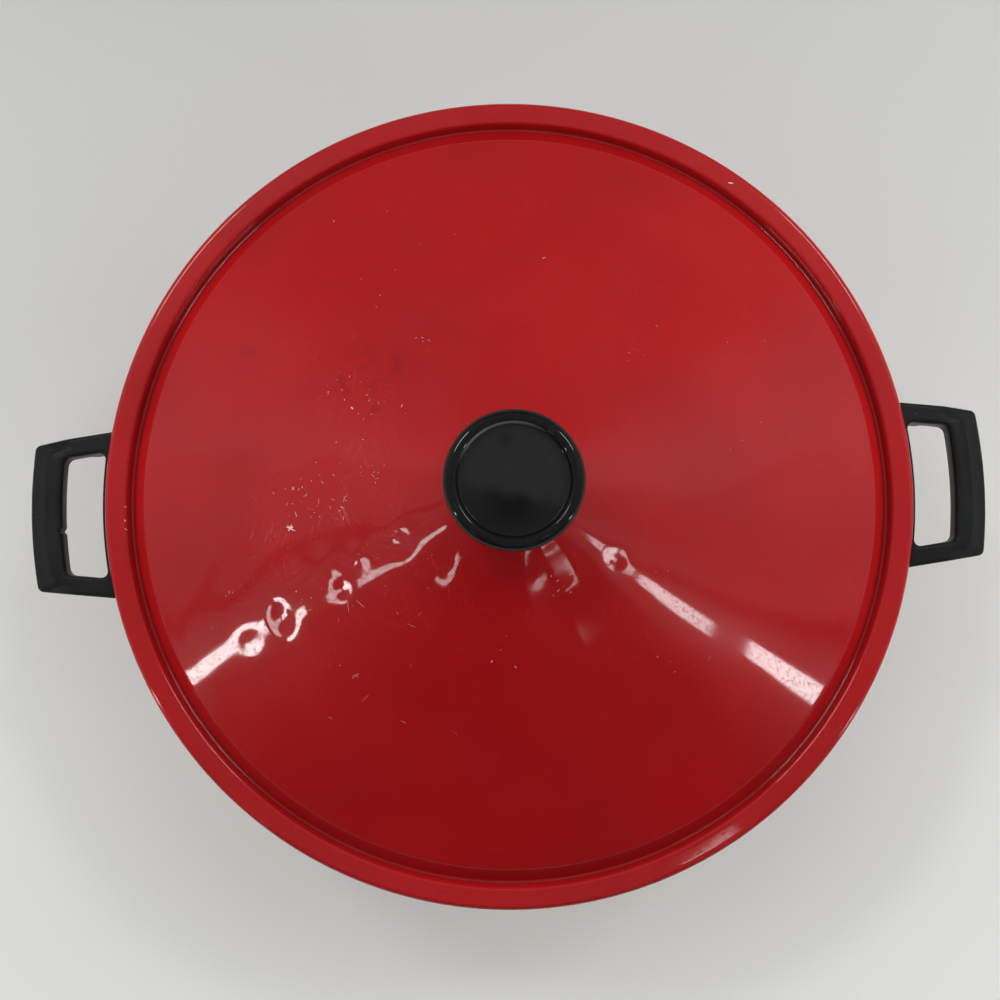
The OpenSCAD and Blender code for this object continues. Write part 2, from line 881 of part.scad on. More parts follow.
module base() {
    color(black_phenolic)
        difference() {
            union() {
                rotate_extrude()
                    polygon(sheet(skirt_corners, skirt_t));
                at_posts()
                    translate([0, 0, post_z])
                        cylinder(d = post_d, h = reflector_z - post_z);
                intersection() {
                    for (a = post_angles)
                        rotate([0, 0, a])
                            translate([post_r, -rib_t / 2, post_z])
                                cube([skirt_r - post_r, rib_t, reflector_z - post_z]);
                    skirt_inside();
                }
                intersection() {
                    for (x = [-ear_x, ear_x])
                        bar(x, -skirt_r, -guard_back, guard_mid_z, ear_w, ear_h, ear_corner_r);
                    skirt_inside();
                }
                for (a = post_angles)
                    rotate([0, 0, a])
                        translate([foot_r, 0, foot_h])
                            cylinder(d = pad_d, h = pad_h);
            }
            cooling_slots();
            bar(0, -skirt_r - cut_over, -guard_back, guard_mid_z,
                guard_out_w + 2 * inlet_gap, guard_out_h + 2 * inlet_gap, guard_corner_r + inlet_gap);
            at_posts() {
                translate([0, 0, post_z - cut_over])
                    cylinder(d = hole_d(base_screw_d), h = reflector_z);
                translate([0, 0, post_z - cut_over])
                    cylinder(d = washer_d(base_screw_d) + 2 * screw_clearance, h = screw_recess + cut_over);
            }
            for (x = [-ear_x, ear_x])
                translate([x, -guard_back + cut_over, guard_mid_z])
                    rotate([90, 0, 0])
                        cylinder(d = thread_d(guard_screw_d), h = guard_screw_bite + blind_room + cut_over);
            for (a = post_angles)
                rotate([0, 0, a])
                    translate([foot_r, 0, foot_h - cut_over])
                        cylinder(d = stem_foot_d + 2 * close_gap, h = stem_foot_h + blind_room + cut_over);
        }
}

// Rubber foot with its stem pressed into the base, at an angle round the base
module foot(a) {
    color(rubber)
        rotate([0, 0, a])
            translate([foot_r, 0, 0]) {
                cylinder(d1 = foot_d - foot_taper, d2 = foot_d, h = foot_h);
                cylinder(d = stem_foot_d, h = foot_h + stem_foot_h);
            }
}

lid_shell();
lid_knob();
knob_insert();
knob_screw();
knob_washer();
wok_bowl();
right_handle();
left_handle();
right_bracket();
left_bracket();
handle_screws();
handle_washers();
heating_element();
terminal_pins();
terminal_insulators();
probe_socket();
terminal_guard();
guard_screws();
heat_reflector();
base_bosses();
heat_spacers();
base();
base_screws();
base_washers();
foot(post_angles[0]);  // foot_rear_right
foot(post_angles[1]);  // foot_rear_left
foot(post_angles[2]);  // foot_front_left
foot(post_angles[3]);  // foot_front_right
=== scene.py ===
"""Looks of an electric wok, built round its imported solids.

The wok stands on the XY plane with its handles along X and its inlet at -Y. Shapes are worked out in
millimetres and written to their meshes in metres.
"""

import logging
import math
from dataclasses import dataclass, field
from enum import Enum
from typing import Callable, Sequence

import bmesh
import bpy
import numpy as np
from mathutils import Matrix, Vector


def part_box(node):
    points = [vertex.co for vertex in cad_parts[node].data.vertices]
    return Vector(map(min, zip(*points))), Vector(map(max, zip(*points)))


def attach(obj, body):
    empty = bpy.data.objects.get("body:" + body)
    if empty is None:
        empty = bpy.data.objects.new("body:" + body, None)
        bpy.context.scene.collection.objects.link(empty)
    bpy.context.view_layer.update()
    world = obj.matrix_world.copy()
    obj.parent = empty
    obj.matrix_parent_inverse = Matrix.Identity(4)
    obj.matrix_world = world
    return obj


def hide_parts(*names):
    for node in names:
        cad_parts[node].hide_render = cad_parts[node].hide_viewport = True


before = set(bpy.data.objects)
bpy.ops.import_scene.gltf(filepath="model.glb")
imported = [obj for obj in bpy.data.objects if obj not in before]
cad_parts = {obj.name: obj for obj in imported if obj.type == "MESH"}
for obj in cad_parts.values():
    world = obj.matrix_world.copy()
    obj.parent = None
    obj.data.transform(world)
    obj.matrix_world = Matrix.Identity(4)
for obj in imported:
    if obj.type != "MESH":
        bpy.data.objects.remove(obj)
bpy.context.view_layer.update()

log = logging.getLogger("wok")
MM = 0.001
POLE = 1e-6  # A point nearer to the axis than this lies on it.
ARC_STEPS = 3  # Fewest steps on a rounded corner.
WELD = 0.001  # Corners nearer to each other than this become one, in millimetres.

Colour = tuple[float, float, float]
Seats = Sequence[Sequence[float]]
Piece = bpy.types.Object
Tree = bpy.types.NodeTree
Node = bpy.types.Node
Socket = bpy.types.NodeSocket
Plug = Socket | float | int | str | tuple | None


class Body(Enum):
    """Bodies that pieces ride on."""

    WOK = "wok"
    LID = "lid"


class Slot(Enum):
    """Material slots of the record that pieces here use."""

    RED_ENAMEL = "red_enamel"
    GLOSS = "gloss_phenolic"
    SATIN = "black_phenolic"
    STEEL = "steel"
    ALUMINIUM = "aluminium"
    CERAMIC = "ceramic"
    RUBBER = "rubber"


class Side(Enum):
    """Side of the wok that a handle is on, as the turn about Z that puts it there."""

    RIGHT = 0.0
    LEFT = 180.0


class Pointing(Enum):
    """Way that a fastener's head or a foot points, as turns about X, Y and Z."""

    UP = (0.0, 0.0, 0.0)
    DOWN = (math.pi, 0.0, 0.0)
    BACK = (-math.pi / 2, 0.0, 0.0)


class Effect(Enum):
    """Shader groups that several finishes share, by name."""

    SCRATCHES = "hairline scratches"
    SPECKS = "specks"
    SMUDGES = "smudges"
    GRAIN = "mould grain"
    WEAR = "edge wear"
    SPUN = "spun lines"


# Outlines and forms


@dataclass(frozen=True)
class Corner:
    """Corner of an outline, with the radius that rounds it.

    Attributes:
        x: Distance along the first axis, which is the radius on a turned form.
        y: Distance along the second axis, which is the height on a turned form.
        radius: Radius of the rounding, or 0 for a sharp corner.
    """

    x: float
    y: float
    radius: float = 0.0

    @property
    def point(self) -> np.ndarray:
        """The corner's place."""
        return np.array([self.x, self.y])


def unit(vector: np.ndarray) -> np.ndarray:
    """The vector at a length of 1."""
    return vector / np.linalg.norm(vector)


def corner_arc(before: np.ndarray, corner: Corner, after: np.ndarray, steps: int) -> np.ndarray:
    """Rounds one corner of an outline.

    Args:
        before: Point that the outline comes from.
        corner: Corner to round.
        after: Point that the outline goes to.
        steps: Number of steps along the arc.

    Returns:
        The arc's points, one more than its steps.
    """
    inward = unit(before - corner.point)
    outward = unit(after - corner.point)
    half = math.acos(np.clip(inward @ outward, -1.0, 1.0)) / 2
    centre = corner.point + unit(inward + outward) * corner.radius / math.sin(half)
    x, y = corner.point + inward * corner.radius / math.tan(half) - centre
    side = math.copysign(1.0, inward[1] * outward[0] - inward[0] * outward[1])
    turns = np.linspace(0.0, side * (math.pi - 2 * half), steps + 1)
    cos, sin = np.cos(turns), np.sin(turns)
    return centre + np.stack([x * cos - y * sin, x * sin + y * cos], 1)


def rounded_outline(corners: Sequence[Corner], step: float = 6.0) -> np.ndarray:
    """Draws an open outline through corners, each rounded by its own radius.

    Args:
        corners: Corners in order.
        step: Largest turn of one step of an arc, in degrees.

    Returns:
        The outline's points.
    """
    points: list[np.ndarray] = []
    for i, corner in enumerate(corners):
        if corner.radius == 0 or i in (0, len(corners) - 1):
            points.append(corner.point[None])
            continue
        before, after = corners[i - 1].point, corners[i + 1].point
        ahead = unit(corner.point - before) @ unit(after - corner.point)
        bend = math.degrees(math.acos(np.clip(ahead, -1, 1)))
        points.append(corner_arc(before, corner, after, max(ARC_STEPS, math.ceil(bend / step))))
    return np.concatenate(points)


def rounded_loop(corners: Sequence[Corner], side_steps: Sequence[int], corner_steps: int) -> np.ndarray:
    """Draws a closed loop through rounded corners, with even steps along its sides.

    Args:
        corners: Corners in order.
        side_steps: Steps along the side after each corner.
        corner_steps: Steps on each corner.

    Returns:
        The loop's points, without the first one repeated.
    """
    count = len(corners)
    arcs = [
        corner_arc(corners[i - 1].point, corners[i], corners[(i + 1) % count].point, corner_steps)
        for i in range(count)
    ]
    points: list[np.ndarray] = []
    for i, arc in enumerate(arcs):
        points.append(arc)
        shares = np.arange(1, side_steps[i])[:, None] / side_steps[i]
        points.append(arc[-1] + (arcs[(i + 1) % count][0] - arc[-1]) * shares)
    return np.concatenate(points)


def beside(points: np.ndarray, distance: float) -> np.ndarray:
    """The same outline moved to its right by a distance."""
    along = np.diff(points, axis=0)
    along /= np.linalg.norm(along, axis=1)[:, None]
    right = np.stack([along[:, 1], -along[:, 0]], 1)
    before = np.concatenate([right[:1], right])
    after = np.concatenate([right, right[-1:]])
    return points + (before + after) * distance / (1 + (before * after).sum(1))[:, None]


def spaced(points: np.ndarray, gap: float) -> np.ndarray:
    """Adds points to an outline so that none lie further apart than a gap."""
    dense = [points[:1]]
    for start, end in zip(points[:-1], points[1:]):
        steps = max(1, math.ceil(np.linalg.norm(end - start) / gap))
        dense.append(start + (end - start) * (np.arange(1, steps + 1) / steps)[:, None])
    return np.concatenate(dense)


def nearness(points: np.ndarray, target: Sequence[float], reach: float) -> np.ndarray:
    """How near points lie to a target, from 1 on it to 0 well past the reach."""
    return np.exp(-(((points - np.asarray(target)) / reach) ** 2).sum(-1))


def hump(values: np.ndarray, middle: float, reach: float, power: int = 2) -> np.ndarray:
    """How near numbers lie to a middle, from 1 on it to 0 well past the reach."""
    return np.exp(-(((values - middle) / reach) ** power))


def axis_r(points: np.ndarray) -> np.ndarray:
    """Distance of each point from the Z axis."""
    return np.hypot(points[:, 0], points[:, 1])


def profile(points: np.ndarray) -> np.ndarray:
    """Each point as its radius and height."""
    return np.stack([axis_r(points), points[:, 2]], 1)


@dataclass
class Shape:
    """Form of a piece.

    Attributes:
        points: Its corners, in millimetres.
        faces: Corners of each face, by number.
    """

    points: np.ndarray
    faces: list[tuple[int, ...]]

    def turned(self, degrees: float) -> "Shape":
        """The same form turned about Z."""
        matrix = np.array(Matrix.Rotation(math.radians(degrees), 3, "Z"))
        return Shape(self.points @ matrix.T, self.faces)


def lathe(outline: np.ndarray, segments: int, closed: bool) -> Shape:
    """Turns an outline about Z.

    Args:
        outline: Points as radius and height. A point on the axis becomes one corner.
        segments: Number of segments round the axis.
        closed: Whether the outline's end joins its start.

    Returns:
        The turned form, with the corners of each outline point together.
    """
    turns = np.arange(segments) * 2 * math.pi / segments
    rings: list[np.ndarray] = []
    points: list[np.ndarray] = []
    total = 0
    for radius, height in outline:
        count = 1 if radius < POLE else segments
        ring = np.stack([radius * np.cos(turns), radius * np.sin(turns), np.full(segments, height)], 1)
        points.append(ring[:count])
        rings.append(np.resize(np.arange(total, total + count), segments))
        total += count
    faces: list[tuple[int, ...]] = []
    pairs = zip(rings, rings[1:] + rings[:1]) if closed else zip(rings[:-1], rings[1:])
    for lower, upper in pairs:
        around = np.stack([lower, np.roll(lower, -1), np.roll(upper, -1), upper], 1)
        faces.extend(tuple(dict.fromkeys(face)) for face in around.tolist())
    return Shape(np.concatenate(points), faces)


def mesh_points(mesh: bpy.types.Mesh) -> np.ndarray:
    """Corners of a mesh, in millimetres."""
    points = np.empty(len(mesh.vertices) * 3)
    mesh.vertices.foreach_get("co", points)
    return points.reshape(-1, 3) / MM


def node_shape(node: str) -> Shape:
    """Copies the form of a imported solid."""
    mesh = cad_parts[node].data
    return Shape(mesh_points(mesh), [tuple(face.vertices) for face in mesh.polygons])


def node_box(node: str) -> tuple[np.ndarray, np.ndarray]:
    """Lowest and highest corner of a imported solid, in millimetres."""
    low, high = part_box(node)
    return np.array(low) / MM, np.array(high) / MM


def smooth(mesh: bpy.types.Mesh, sharp: float) -> None:
    """Shades a mesh smoothly, apart from edges that turn by more than an angle in degrees."""
    mesh.shade_smooth()
    mesh.set_sharp_from_angle(angle=math.radians(sharp))


def make_piece(name: str, shape: Shape, sharp: float = 35.0) -> Piece:
    """Makes the object of a piece, closed and with its faces turned outwards.

    Args:
        name: Name of the piece.
        shape: Its form.
        sharp: Turn above which an edge stays sharp, in degrees.

    Returns:
        The object, at the origin.
    """
    mesh = bpy.data.meshes.new(name)
    mesh.from_pydata((shape.points * MM).tolist(), [], shape.faces)
    if shape.faces:
        edit = bmesh.new()
        edit.from_mesh(mesh)
        bmesh.ops.remove_doubles(edit, verts=edit.verts, dist=WELD * MM)
        bmesh.ops.recalc_face_normals(edit, faces=edit.faces)
        edit.to_mesh(mesh)
        edit.free()
        smooth(mesh, sharp)
    piece = bpy.data.objects.new(name, mesh)
    bpy.context.scene.collection.objects.link(piece)
    return piece


def paint(piece: Piece, name: str, amount: Callable[[np.ndarray], np.ndarray]) -> None:
    """Stores an amount at each corner of a piece.

    Args:
        piece: Piece to paint.
        name: Name of the attribute.
        amount: Works out the amounts from the corners' places, in millimetres.
    """
    values = np.clip(amount(mesh_points(piece.data)), 0.0, 1.0)
    stored = piece.data.attributes.new(name, "FLOAT", "POINT")
    stored.data.foreach_set("value", values.astype(np.float32))


def place(piece: Piece, body: Body, slot: Slot, *nodes: str) -> None:
    """Lets a finished piece ride on its body and stand for its solids.

    Args:
        piece: Finished piece.
        body: Body that it moves with.
        slot: Material slot of its finish; not used.
        nodes: Solids that it stands for.
    """
    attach(piece, body.value)
    if nodes:
        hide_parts(*nodes)
    log.info("%s: %d faces on %s", piece.name, len(piece.data.polygons), body.value)


# Node trees


class Wiring:
    """Adds and joins the nodes of one tree."""

    def __init__(self, tree: Tree) -> None:
        """Starts on a tree."""
        self.tree = tree

    def feed(self, node: Node, inputs: dict[str | int, Plug]) -> None:
        """Sets sockets of a node, by name or number, to values or to other nodes' sockets."""
        for key, value in inputs.items():
            if isinstance(value, Socket):
                self.tree.links.new(value, node.inputs[key])
            elif value is not None:
                node.inputs[key].default_value = value

    def add(self, kind: str, inputs: dict[str | int, Plug] | None = None, **settings: object) -> Node:
        """Adds a node.

        Args:
            kind: Type of the node.
            inputs: What its sockets take, by name or number.
            settings: Its other settings.

        Returns:
            The node.
        """
        node = self.tree.nodes.new(kind)
        for name, value in settings.items():
            setattr(node, name, value)
        self.feed(node, inputs or {})
        return node

    def first(self, kind: str, inputs: dict[str | int, Plug] | None = None, **settings: object) -> Socket:
        """First output of a new node, with the same arguments."""
        return self.add(kind, inputs, **settings).outputs[0]

    def math(self, operation: str, first: Plug, second: Plug = None) -> Socket:
        """Result of a sum on one or two numbers."""
        return self.first("ShaderNodeMath", {0: first, 1: second}, operation=operation)

    def times(self, first: Plug, second: Plug) -> Socket:
        """Product of two numbers."""
        return self.math("MULTIPLY", first, second)

    def vector(self, x: Plug = None, y: Plug = None, z: Plug = None) -> Socket:
        """Vector of three numbers."""
        return self.first("ShaderNodeCombineXYZ", {0: x, 1: y, 2: z})

    def parts(self, vector: Plug) -> Sequence[Socket]:
        """The three numbers of a vector."""
        return self.add("ShaderNodeSeparateXYZ", {0: vector}).outputs

    def length(self, vector: Plug) -> Socket:
        """Length of a vector."""
        return self.add("ShaderNodeVectorMath", {0: vector}, operation="LENGTH").outputs["Value"]

    def ramp(self, value: Plug, low: Plug, high: Plug) -> Socket:
        """Soft step of a value, from 0 at low to 1 at high."""
        inputs = {"Value": value, "From Min": low, "From Max": high}
        return self.first("ShaderNodeMapRange", inputs, interpolation_type="SMOOTHSTEP")

    def scale(self, value: Plug, low: float, high: float) -> Socket:
        """Spreads a share from 0 to 1 over a range."""
        return self.first("ShaderNodeMapRange", {"Value": value, "To Min": low, "To Max": high})

    def blend(self, share: Plug, first: Plug, second: Plug) -> Socket:
        """Number between two others."""
        return self.first("ShaderNodeMix", {0: share, 2: first, 3: second}, data_type="FLOAT")

    def mix(self, share: Plug, first: Plug, second: Plug) -> Socket:
        """Colour between two others, each a socket or three numbers."""
        first, second = ((*c, 1.0) if isinstance(c, tuple) else c for c in (first, second))
        return self.add("ShaderNodeMix", {0: share, 6: first, 7: second}, data_type="RGBA").outputs[2]

    def place(self) -> Socket:
        """Place of a shaded point on its object."""
        return self.add("ShaderNodeTexCoord").outputs["Object"]

    def noise(self, scale: Plug, detail: float = 2.0, vector: Plug = None) -> Socket:
        """Soft noise over the object, or over another vector."""
        inputs = {"Vector": vector or self.place(), "Scale": scale, "Detail": detail}
        return self.first("ShaderNodeTexNoise", inputs)

    def painted(self, name: str) -> Socket:
        """Amount that is painted on the corners of a piece."""
        return self.add("ShaderNodeAttribute", attribute_name=name).outputs["Fac"]

    def effect(self, effect: Effect, **inputs: Plug) -> Socket:
        """First output of a shared shader group, with its inputs set."""
        node = self.add("ShaderNodeGroup", node_tree=effect_group(effect))
        self.feed(node, {name.title(): value for name, value in inputs.items()})
        return node.outputs[0]


class GroupWiring(Wiring):
    """Adds and joins the nodes of a group, with named inputs and outputs."""

    def __init__(self, tree: Tree) -> None:
        """Starts on an empty group."""
        super().__init__(tree)
        self.entry = self.add("NodeGroupInput")
        self.exit = self.add("NodeGroupOutput")

    def take(self, name: str, kind: str = "Float", default: Plug = None) -> Socket:
        """Makes a named input.

        Args:
            name: Name of the input.
            kind: Kind of socket.
            default: Value that it has when nothing else is set.

        Returns:
            The socket that brings it into the group.
        """
        item = self.tree.interface.new_socket(name=name, in_out="INPUT", socket_type="NodeSocket" + kind)
        if default is not None:
            item.default_value = default
        return self.entry.outputs[name]

    def give(self, name: str, value: Socket, kind: str = "Float") -> None:
        """Makes a named output and joins a socket to it."""
        self.tree.interface.new_socket(name=name, in_out="OUTPUT", socket_type="NodeSocket" + kind)
        self.tree.links.new(value, self.exit.inputs[name])


def scratch_effect(group: GroupWiring) -> None:
    """Fine lines in four directions, broken into patches."""
    length, width = group.take("Length", default=0.03), group.take("Width", default=0.0012)
    amount = group.take("Amount", default=0.5)
    size = group.vector(length, width, length)
    drift = group.add("ShaderNodeTexNoise", {"Vector": group.place(), "Scale": 24.0}).outputs["Color"]
    inputs = {0: drift, 1: (0.012, 0.012, 0.012), 2: group.place()}
    wandering = group.first("ShaderNodeVectorMath", inputs, operation="MULTIPLY_ADD")
    lines = None
    for turn, patch_scale in ((0.4, 37.0), (1.2, 53.0), (2.0, 43.0), (2.8, 31.0)):
        inputs = {"Vector": wandering, "Rotation": (0.0, 0.0, turn), "Scale": size}
        stretched = group.first("ShaderNodeMapping", inputs, vector_type="TEXTURE")
        distance = group.math("ABSOLUTE", group.math("SUBTRACT", group.noise(1.0, 1.0, stretched), 0.5))
        line = group.ramp(distance, 0.012, 0.0)
        patch = group.ramp(group.noise(patch_scale), 0.52, 0.66)
        broken = group.times(line, patch)
        lines = broken if lines is None else group.math("MAXIMUM", lines, broken)
    group.give("Mask", group.times(lines, amount))


def speck_effect(group: GroupWiring) -> None:
    """Scattered round specks."""
    scale, size = group.take("Scale", default=300.0), group.take("Size", default=0.15)
    amount = group.take("Amount", default=0.05)
    cells = group.add("ShaderNodeTexVoronoi", {"Vector": group.place(), "Scale": scale})
    shade = group.first("ShaderNodeSeparateColor", {0: cells.outputs["Color"]})
    chosen = group.math("LESS_THAN", shade, amount)
    spot = group.ramp(cells.outputs["Distance"], size, group.times(size, 0.6))
    group.give("Mask", group.times(spot, chosen))


def smudge_effect(group: GroupWiring) -> None:
    """Soft cloudy marks."""
    scale = group.take("Scale", default=20.0)
    group.give("Amount", group.ramp(group.noise(scale, detail=5.0), 0.38, 0.72))


def grain_effect(group: GroupWiring) -> None:
    """Fine pebbled texture of a moulding."""
    scale = group.take("Scale", default=1500.0)
    group.give("Height", group.noise(scale, detail=2.0))


def wear_effect(group: GroupWiring) -> None:
    """Rubbed places along edges, from the amount painted as edge."""
    scale, reach = group.take("Scale", default=200.0), group.take("Reach", default=0.5)
    ragged = group.times(group.math("SUBTRACT", group.noise(scale, detail=4.0), 0.5), 1.6)
    edge = group.math("ADD", group.painted("edge"), ragged)
    low, high = group.math("SUBTRACT", 1.0, reach), group.math("SUBTRACT", 1.15, reach)
    group.give("Mask", group.ramp(edge, low, high))


def spun_effect(group: GroupWiring) -> None:
    """Fine rings round the Z axis, as spinning and turning leave."""
    scale = group.take("Scale", default=900.0)
    x, y, _ = group.parts(group.place())
    inputs = {"W": group.length(group.vector(x, y)), "Scale": scale, "Detail": 3.0}
    group.give("Height", group.first("ShaderNodeTexNoise", inputs, noise_dimensions="1D"))


EFFECT_BUILDERS: dict[Effect, Callable[[GroupWiring], None]] = {
    Effect.SCRATCHES: scratch_effect,
    Effect.SPECKS: speck_effect,
    Effect.SMUDGES: smudge_effect,
    Effect.GRAIN: grain_effect,
    Effect.WEAR: wear_effect,
    Effect.SPUN: spun_effect,
}


def effect_group(effect: Effect) -> Tree:
    """The shader group of an effect, built when it is first asked for."""
    group = bpy.data.node_groups.get(effect.value)
    if group is None:
        group = bpy.data.node_groups.new(effect.value, "ShaderNodeTree")
        EFFECT_BUILDERS[effect](GroupWiring(group))
    return group


# Finishes


@dataclass(frozen=True)
class Finish:
    """Finish of a surface.

    Attributes:
        name: Name of its material.
        colour: Main colour, linear.
        roughness: Roughness of a clean stretch.
    """

    name: str
    colour: Colour
    roughness: float

    def material(self) -> bpy.types.Material:
        """The finish's material, built when it is first asked for."""
        material = bpy.data.materials.get(self.name)
        if material is None:
            material = bpy.data.materials.new(self.name)
            material.use_nodes = True
            material.node_tree.nodes.clear()
            wiring = Wiring(material.node_tree)
            shader = wiring.add("ShaderNodeBsdfPrincipled")
            wiring.add("ShaderNodeOutputMaterial", {"Surface": shader.outputs[0]})
            self.wire(wiring, shader)
        return material

    def wire(self, wiring: Wiring, shader: Node) -> None:
        """Wires the finish's own look into its shader."""
        raise NotImplementedError

    def bump(self, wiring: Wiring, shader: Node, height: Plug, depth: float) -> None:
        """Raises the surface by a height from 0 to 1, times a depth in metres."""
        bump = wiring.add("ShaderNodeBump", {"Strength": 1.0, "Distance": depth, "Height": height})
        wiring.feed(shader, {"Normal": bump.outputs[0]})

    def dress(self, piece: Piece) -> None:
        """Puts the finish on a piece."""
        piece.data.materials.clear()
        piece.data.materials.append(self.material())


@dataclass(frozen=True)
class Enamel(Finish):
    """Gloss enamel on pressed sheet, scratched and chipped, with dirt and painted shade in its groove.

    Attributes:
        grime_and_shade: Colour of the dirt and painted shade in grooves, also used for painted dark
            reflections of dents and for specks of dirt.
        primer: Colour that shows where the enamel is chipped.
        specular: Strength of the soft glow round bright reflections.
        gloss: Weight of the gloss on a clean spot.
        dusty_gloss: Weight of the gloss on a dusty spot.
        gloss_roughness: Roughness of the gloss.
        peel: Depth of the orange peel, in metres.
    """

    grime_and_shade: Colour = (0.085, 0.004, 0.004)
    primer: Colour = (0.66, 0.58, 0.54)
    specular: float = 0.15
    gloss: float = 0.82
    dusty_gloss: float = 0.3
    gloss_roughness: float = 0.045
    peel: float = 0.00001

    def wire(self, wiring: Wiring, shader: Node) -> None:
        """Wires the enamel's colour, gloss and orange peel."""
        colour, roughness = self.coat(wiring)
        dust = wiring.ramp(wiring.noise(950.0, detail=3.0), 0.5, 0.64)
        gloss = wiring.scale(dust, self.gloss, self.dusty_gloss)
        wiring.feed(shader, {"Base Color": colour, "Roughness": roughness, "Coat Weight": gloss,
                             "Coat Roughness": self.gloss_roughness, "Specular IOR Level": self.specular})
        peel = wiring.math("ADD", wiring.noise(260.0), wiring.times(wiring.noise(800.0), 2.0))
        self.bump(wiring, shader, peel, self.peel)

    def coat(self, wiring: Wiring) -> tuple[Socket, Socket]:
        """Colour and roughness of the enamel, with its marks."""
        deep = tuple(0.86 * part for part in self.colour)
        colour = wiring.mix(wiring.ramp(wiring.noise(14.0, detail=4.0), 0.3, 0.7), self.colour, deep)
        # Darkening in the groove and round the knob's foot: partly dirt, partly painted shade.
        colour = wiring.mix(wiring.times(wiring.painted("grime_and_shade"), 0.3), colour, self.grime_and_shade)
        lines = wiring.effect(Effect.SCRATCHES, length=0.028, width=0.0016, amount=0.8)
        worn_lines = wiring.times(lines, wiring.scale(wiring.painted("wear"), 0.12, 1.0))
        pale = tuple(min(1.0, 0.12 + 1.3 * part) for part in self.colour)
        colour = wiring.mix(wiring.times(worn_lines, 0.55), colour, pale)
        # Dark blots: partly stains, partly painted dark reflections of shallow dents.
        blots = wiring.ramp(wiring.noise(170.0, detail=4.0), 0.4, 0.58)
        stains_and_dark_reflections = wiring.times(wiring.painted("stain_and_dark_reflection"), blots)
        colour = wiring.mix(wiring.times(stains_and_dark_reflections, 0.4), colour, self.grime_and_shade)
        dirt = wiring.effect(Effect.SPECKS, scale=330.0, size=0.13, amount=0.03)
        colour = wiring.mix(wiring.times(dirt, 0.7), colour, self.grime_and_shade)
        chips = wiring.effect(Effect.WEAR, scale=160.0, reach=0.05)
        colour = wiring.mix(chips, colour, self.primer)
        smudges = wiring.effect(Effect.SMUDGES, scale=22.0)
        roughness = wiring.blend(smudges, self.roughness, self.roughness + 0.12)
        roughness = wiring.math("MAXIMUM", roughness, wiring.times(chips, 0.7))
        return colour, roughness


@dataclass(frozen=True)
class LinedEnamel(Enamel):
    """Enamel outside, with a dark non-stick lining where lining is painted.

    Attributes:
        lining: Colour of the lining.
        lining_roughness: Roughness of the lining.
        stirred: Colour of the marks that spoons leave.
        fleck: Colour of the lining's flecks.
    """

    lining: Colour = (0.022, 0.022, 0.024)
    lining_roughness: float = 0.42
    stirred: Colour = (0.16, 0.16, 0.165)
    fleck: Colour = (0.09, 0.09, 0.09)

    def coat(self, wiring: Wiring) -> tuple[Socket, Socket]:
        """Colour and roughness of the enamel and of the lining."""
        colour, roughness = super().coat(wiring)
        inside = wiring.ramp(wiring.painted("lining"), 0.45, 0.55)
        marks = wiring.effect(Effect.SCRATCHES, length=0.05, width=0.0014, amount=0.6)
        rings = wiring.effect(Effect.SPUN, scale=500.0)
        flecks = wiring.effect(Effect.SPECKS, scale=700.0, size=0.28, amount=0.1)
        light = tuple(2.6 * part for part in self.lining)
        lining = wiring.mix(wiring.times(rings, 0.5), self.lining, light)
        lining = wiring.mix(flecks, wiring.mix(marks, lining, self.stirred), self.fleck)
        return wiring.mix(inside, colour, lining), wiring.blend(inside, roughness, self.lining_roughness)


@dataclass(frozen=True)
class Moulding(Finish):
    """Black heat-proof moulding with a fine grain, rubbed at its edges.

    Attributes:
        grain: Depth of the grain, in metres.
        rubbed_and_highlight: Colour of rubbed edges.
        dust: Colour of specks of dust.
        specular: Strength of its reflections.
    """

    grain: float = 0.00002
    rubbed_and_highlight: Colour = (0.05, 0.052, 0.052)
    dust: Colour = (0.22, 0.21, 0.2)
    specular: float = 0.28

    def wire(self, wiring: Wiring, shader: Node) -> None:
        """Wires the moulding's colour, sheen and grain."""
        smudges = wiring.effect(Effect.SMUDGES, scale=35.0)
        wear = wiring.effect(Effect.WEAR, scale=120.0, reach=0.35)
        dust = wiring.effect(Effect.SPECKS, scale=500.0, size=0.2, amount=0.03)
        worn = tuple(1.35 * part for part in self.colour)
        colour = wiring.mix(smudges, self.colour, worn)
        colour = wiring.mix(wiring.times(wear, 0.6), colour, self.rubbed_and_highlight)
        colour = wiring.mix(wiring.times(dust, 0.25), colour, self.dust)
        roughness = wiring.scale(smudges, self.roughness, self.roughness + 0.1)
        roughness = wiring.blend(wear, roughness, self.roughness - 0.1)
        wiring.feed(shader, {"Base Color": colour, "Roughness": roughness,
                             "Specular IOR Level": self.specular})
        self.bump(wiring, shader, wiring.effect(Effect.GRAIN, scale=1600.0), self.grain)


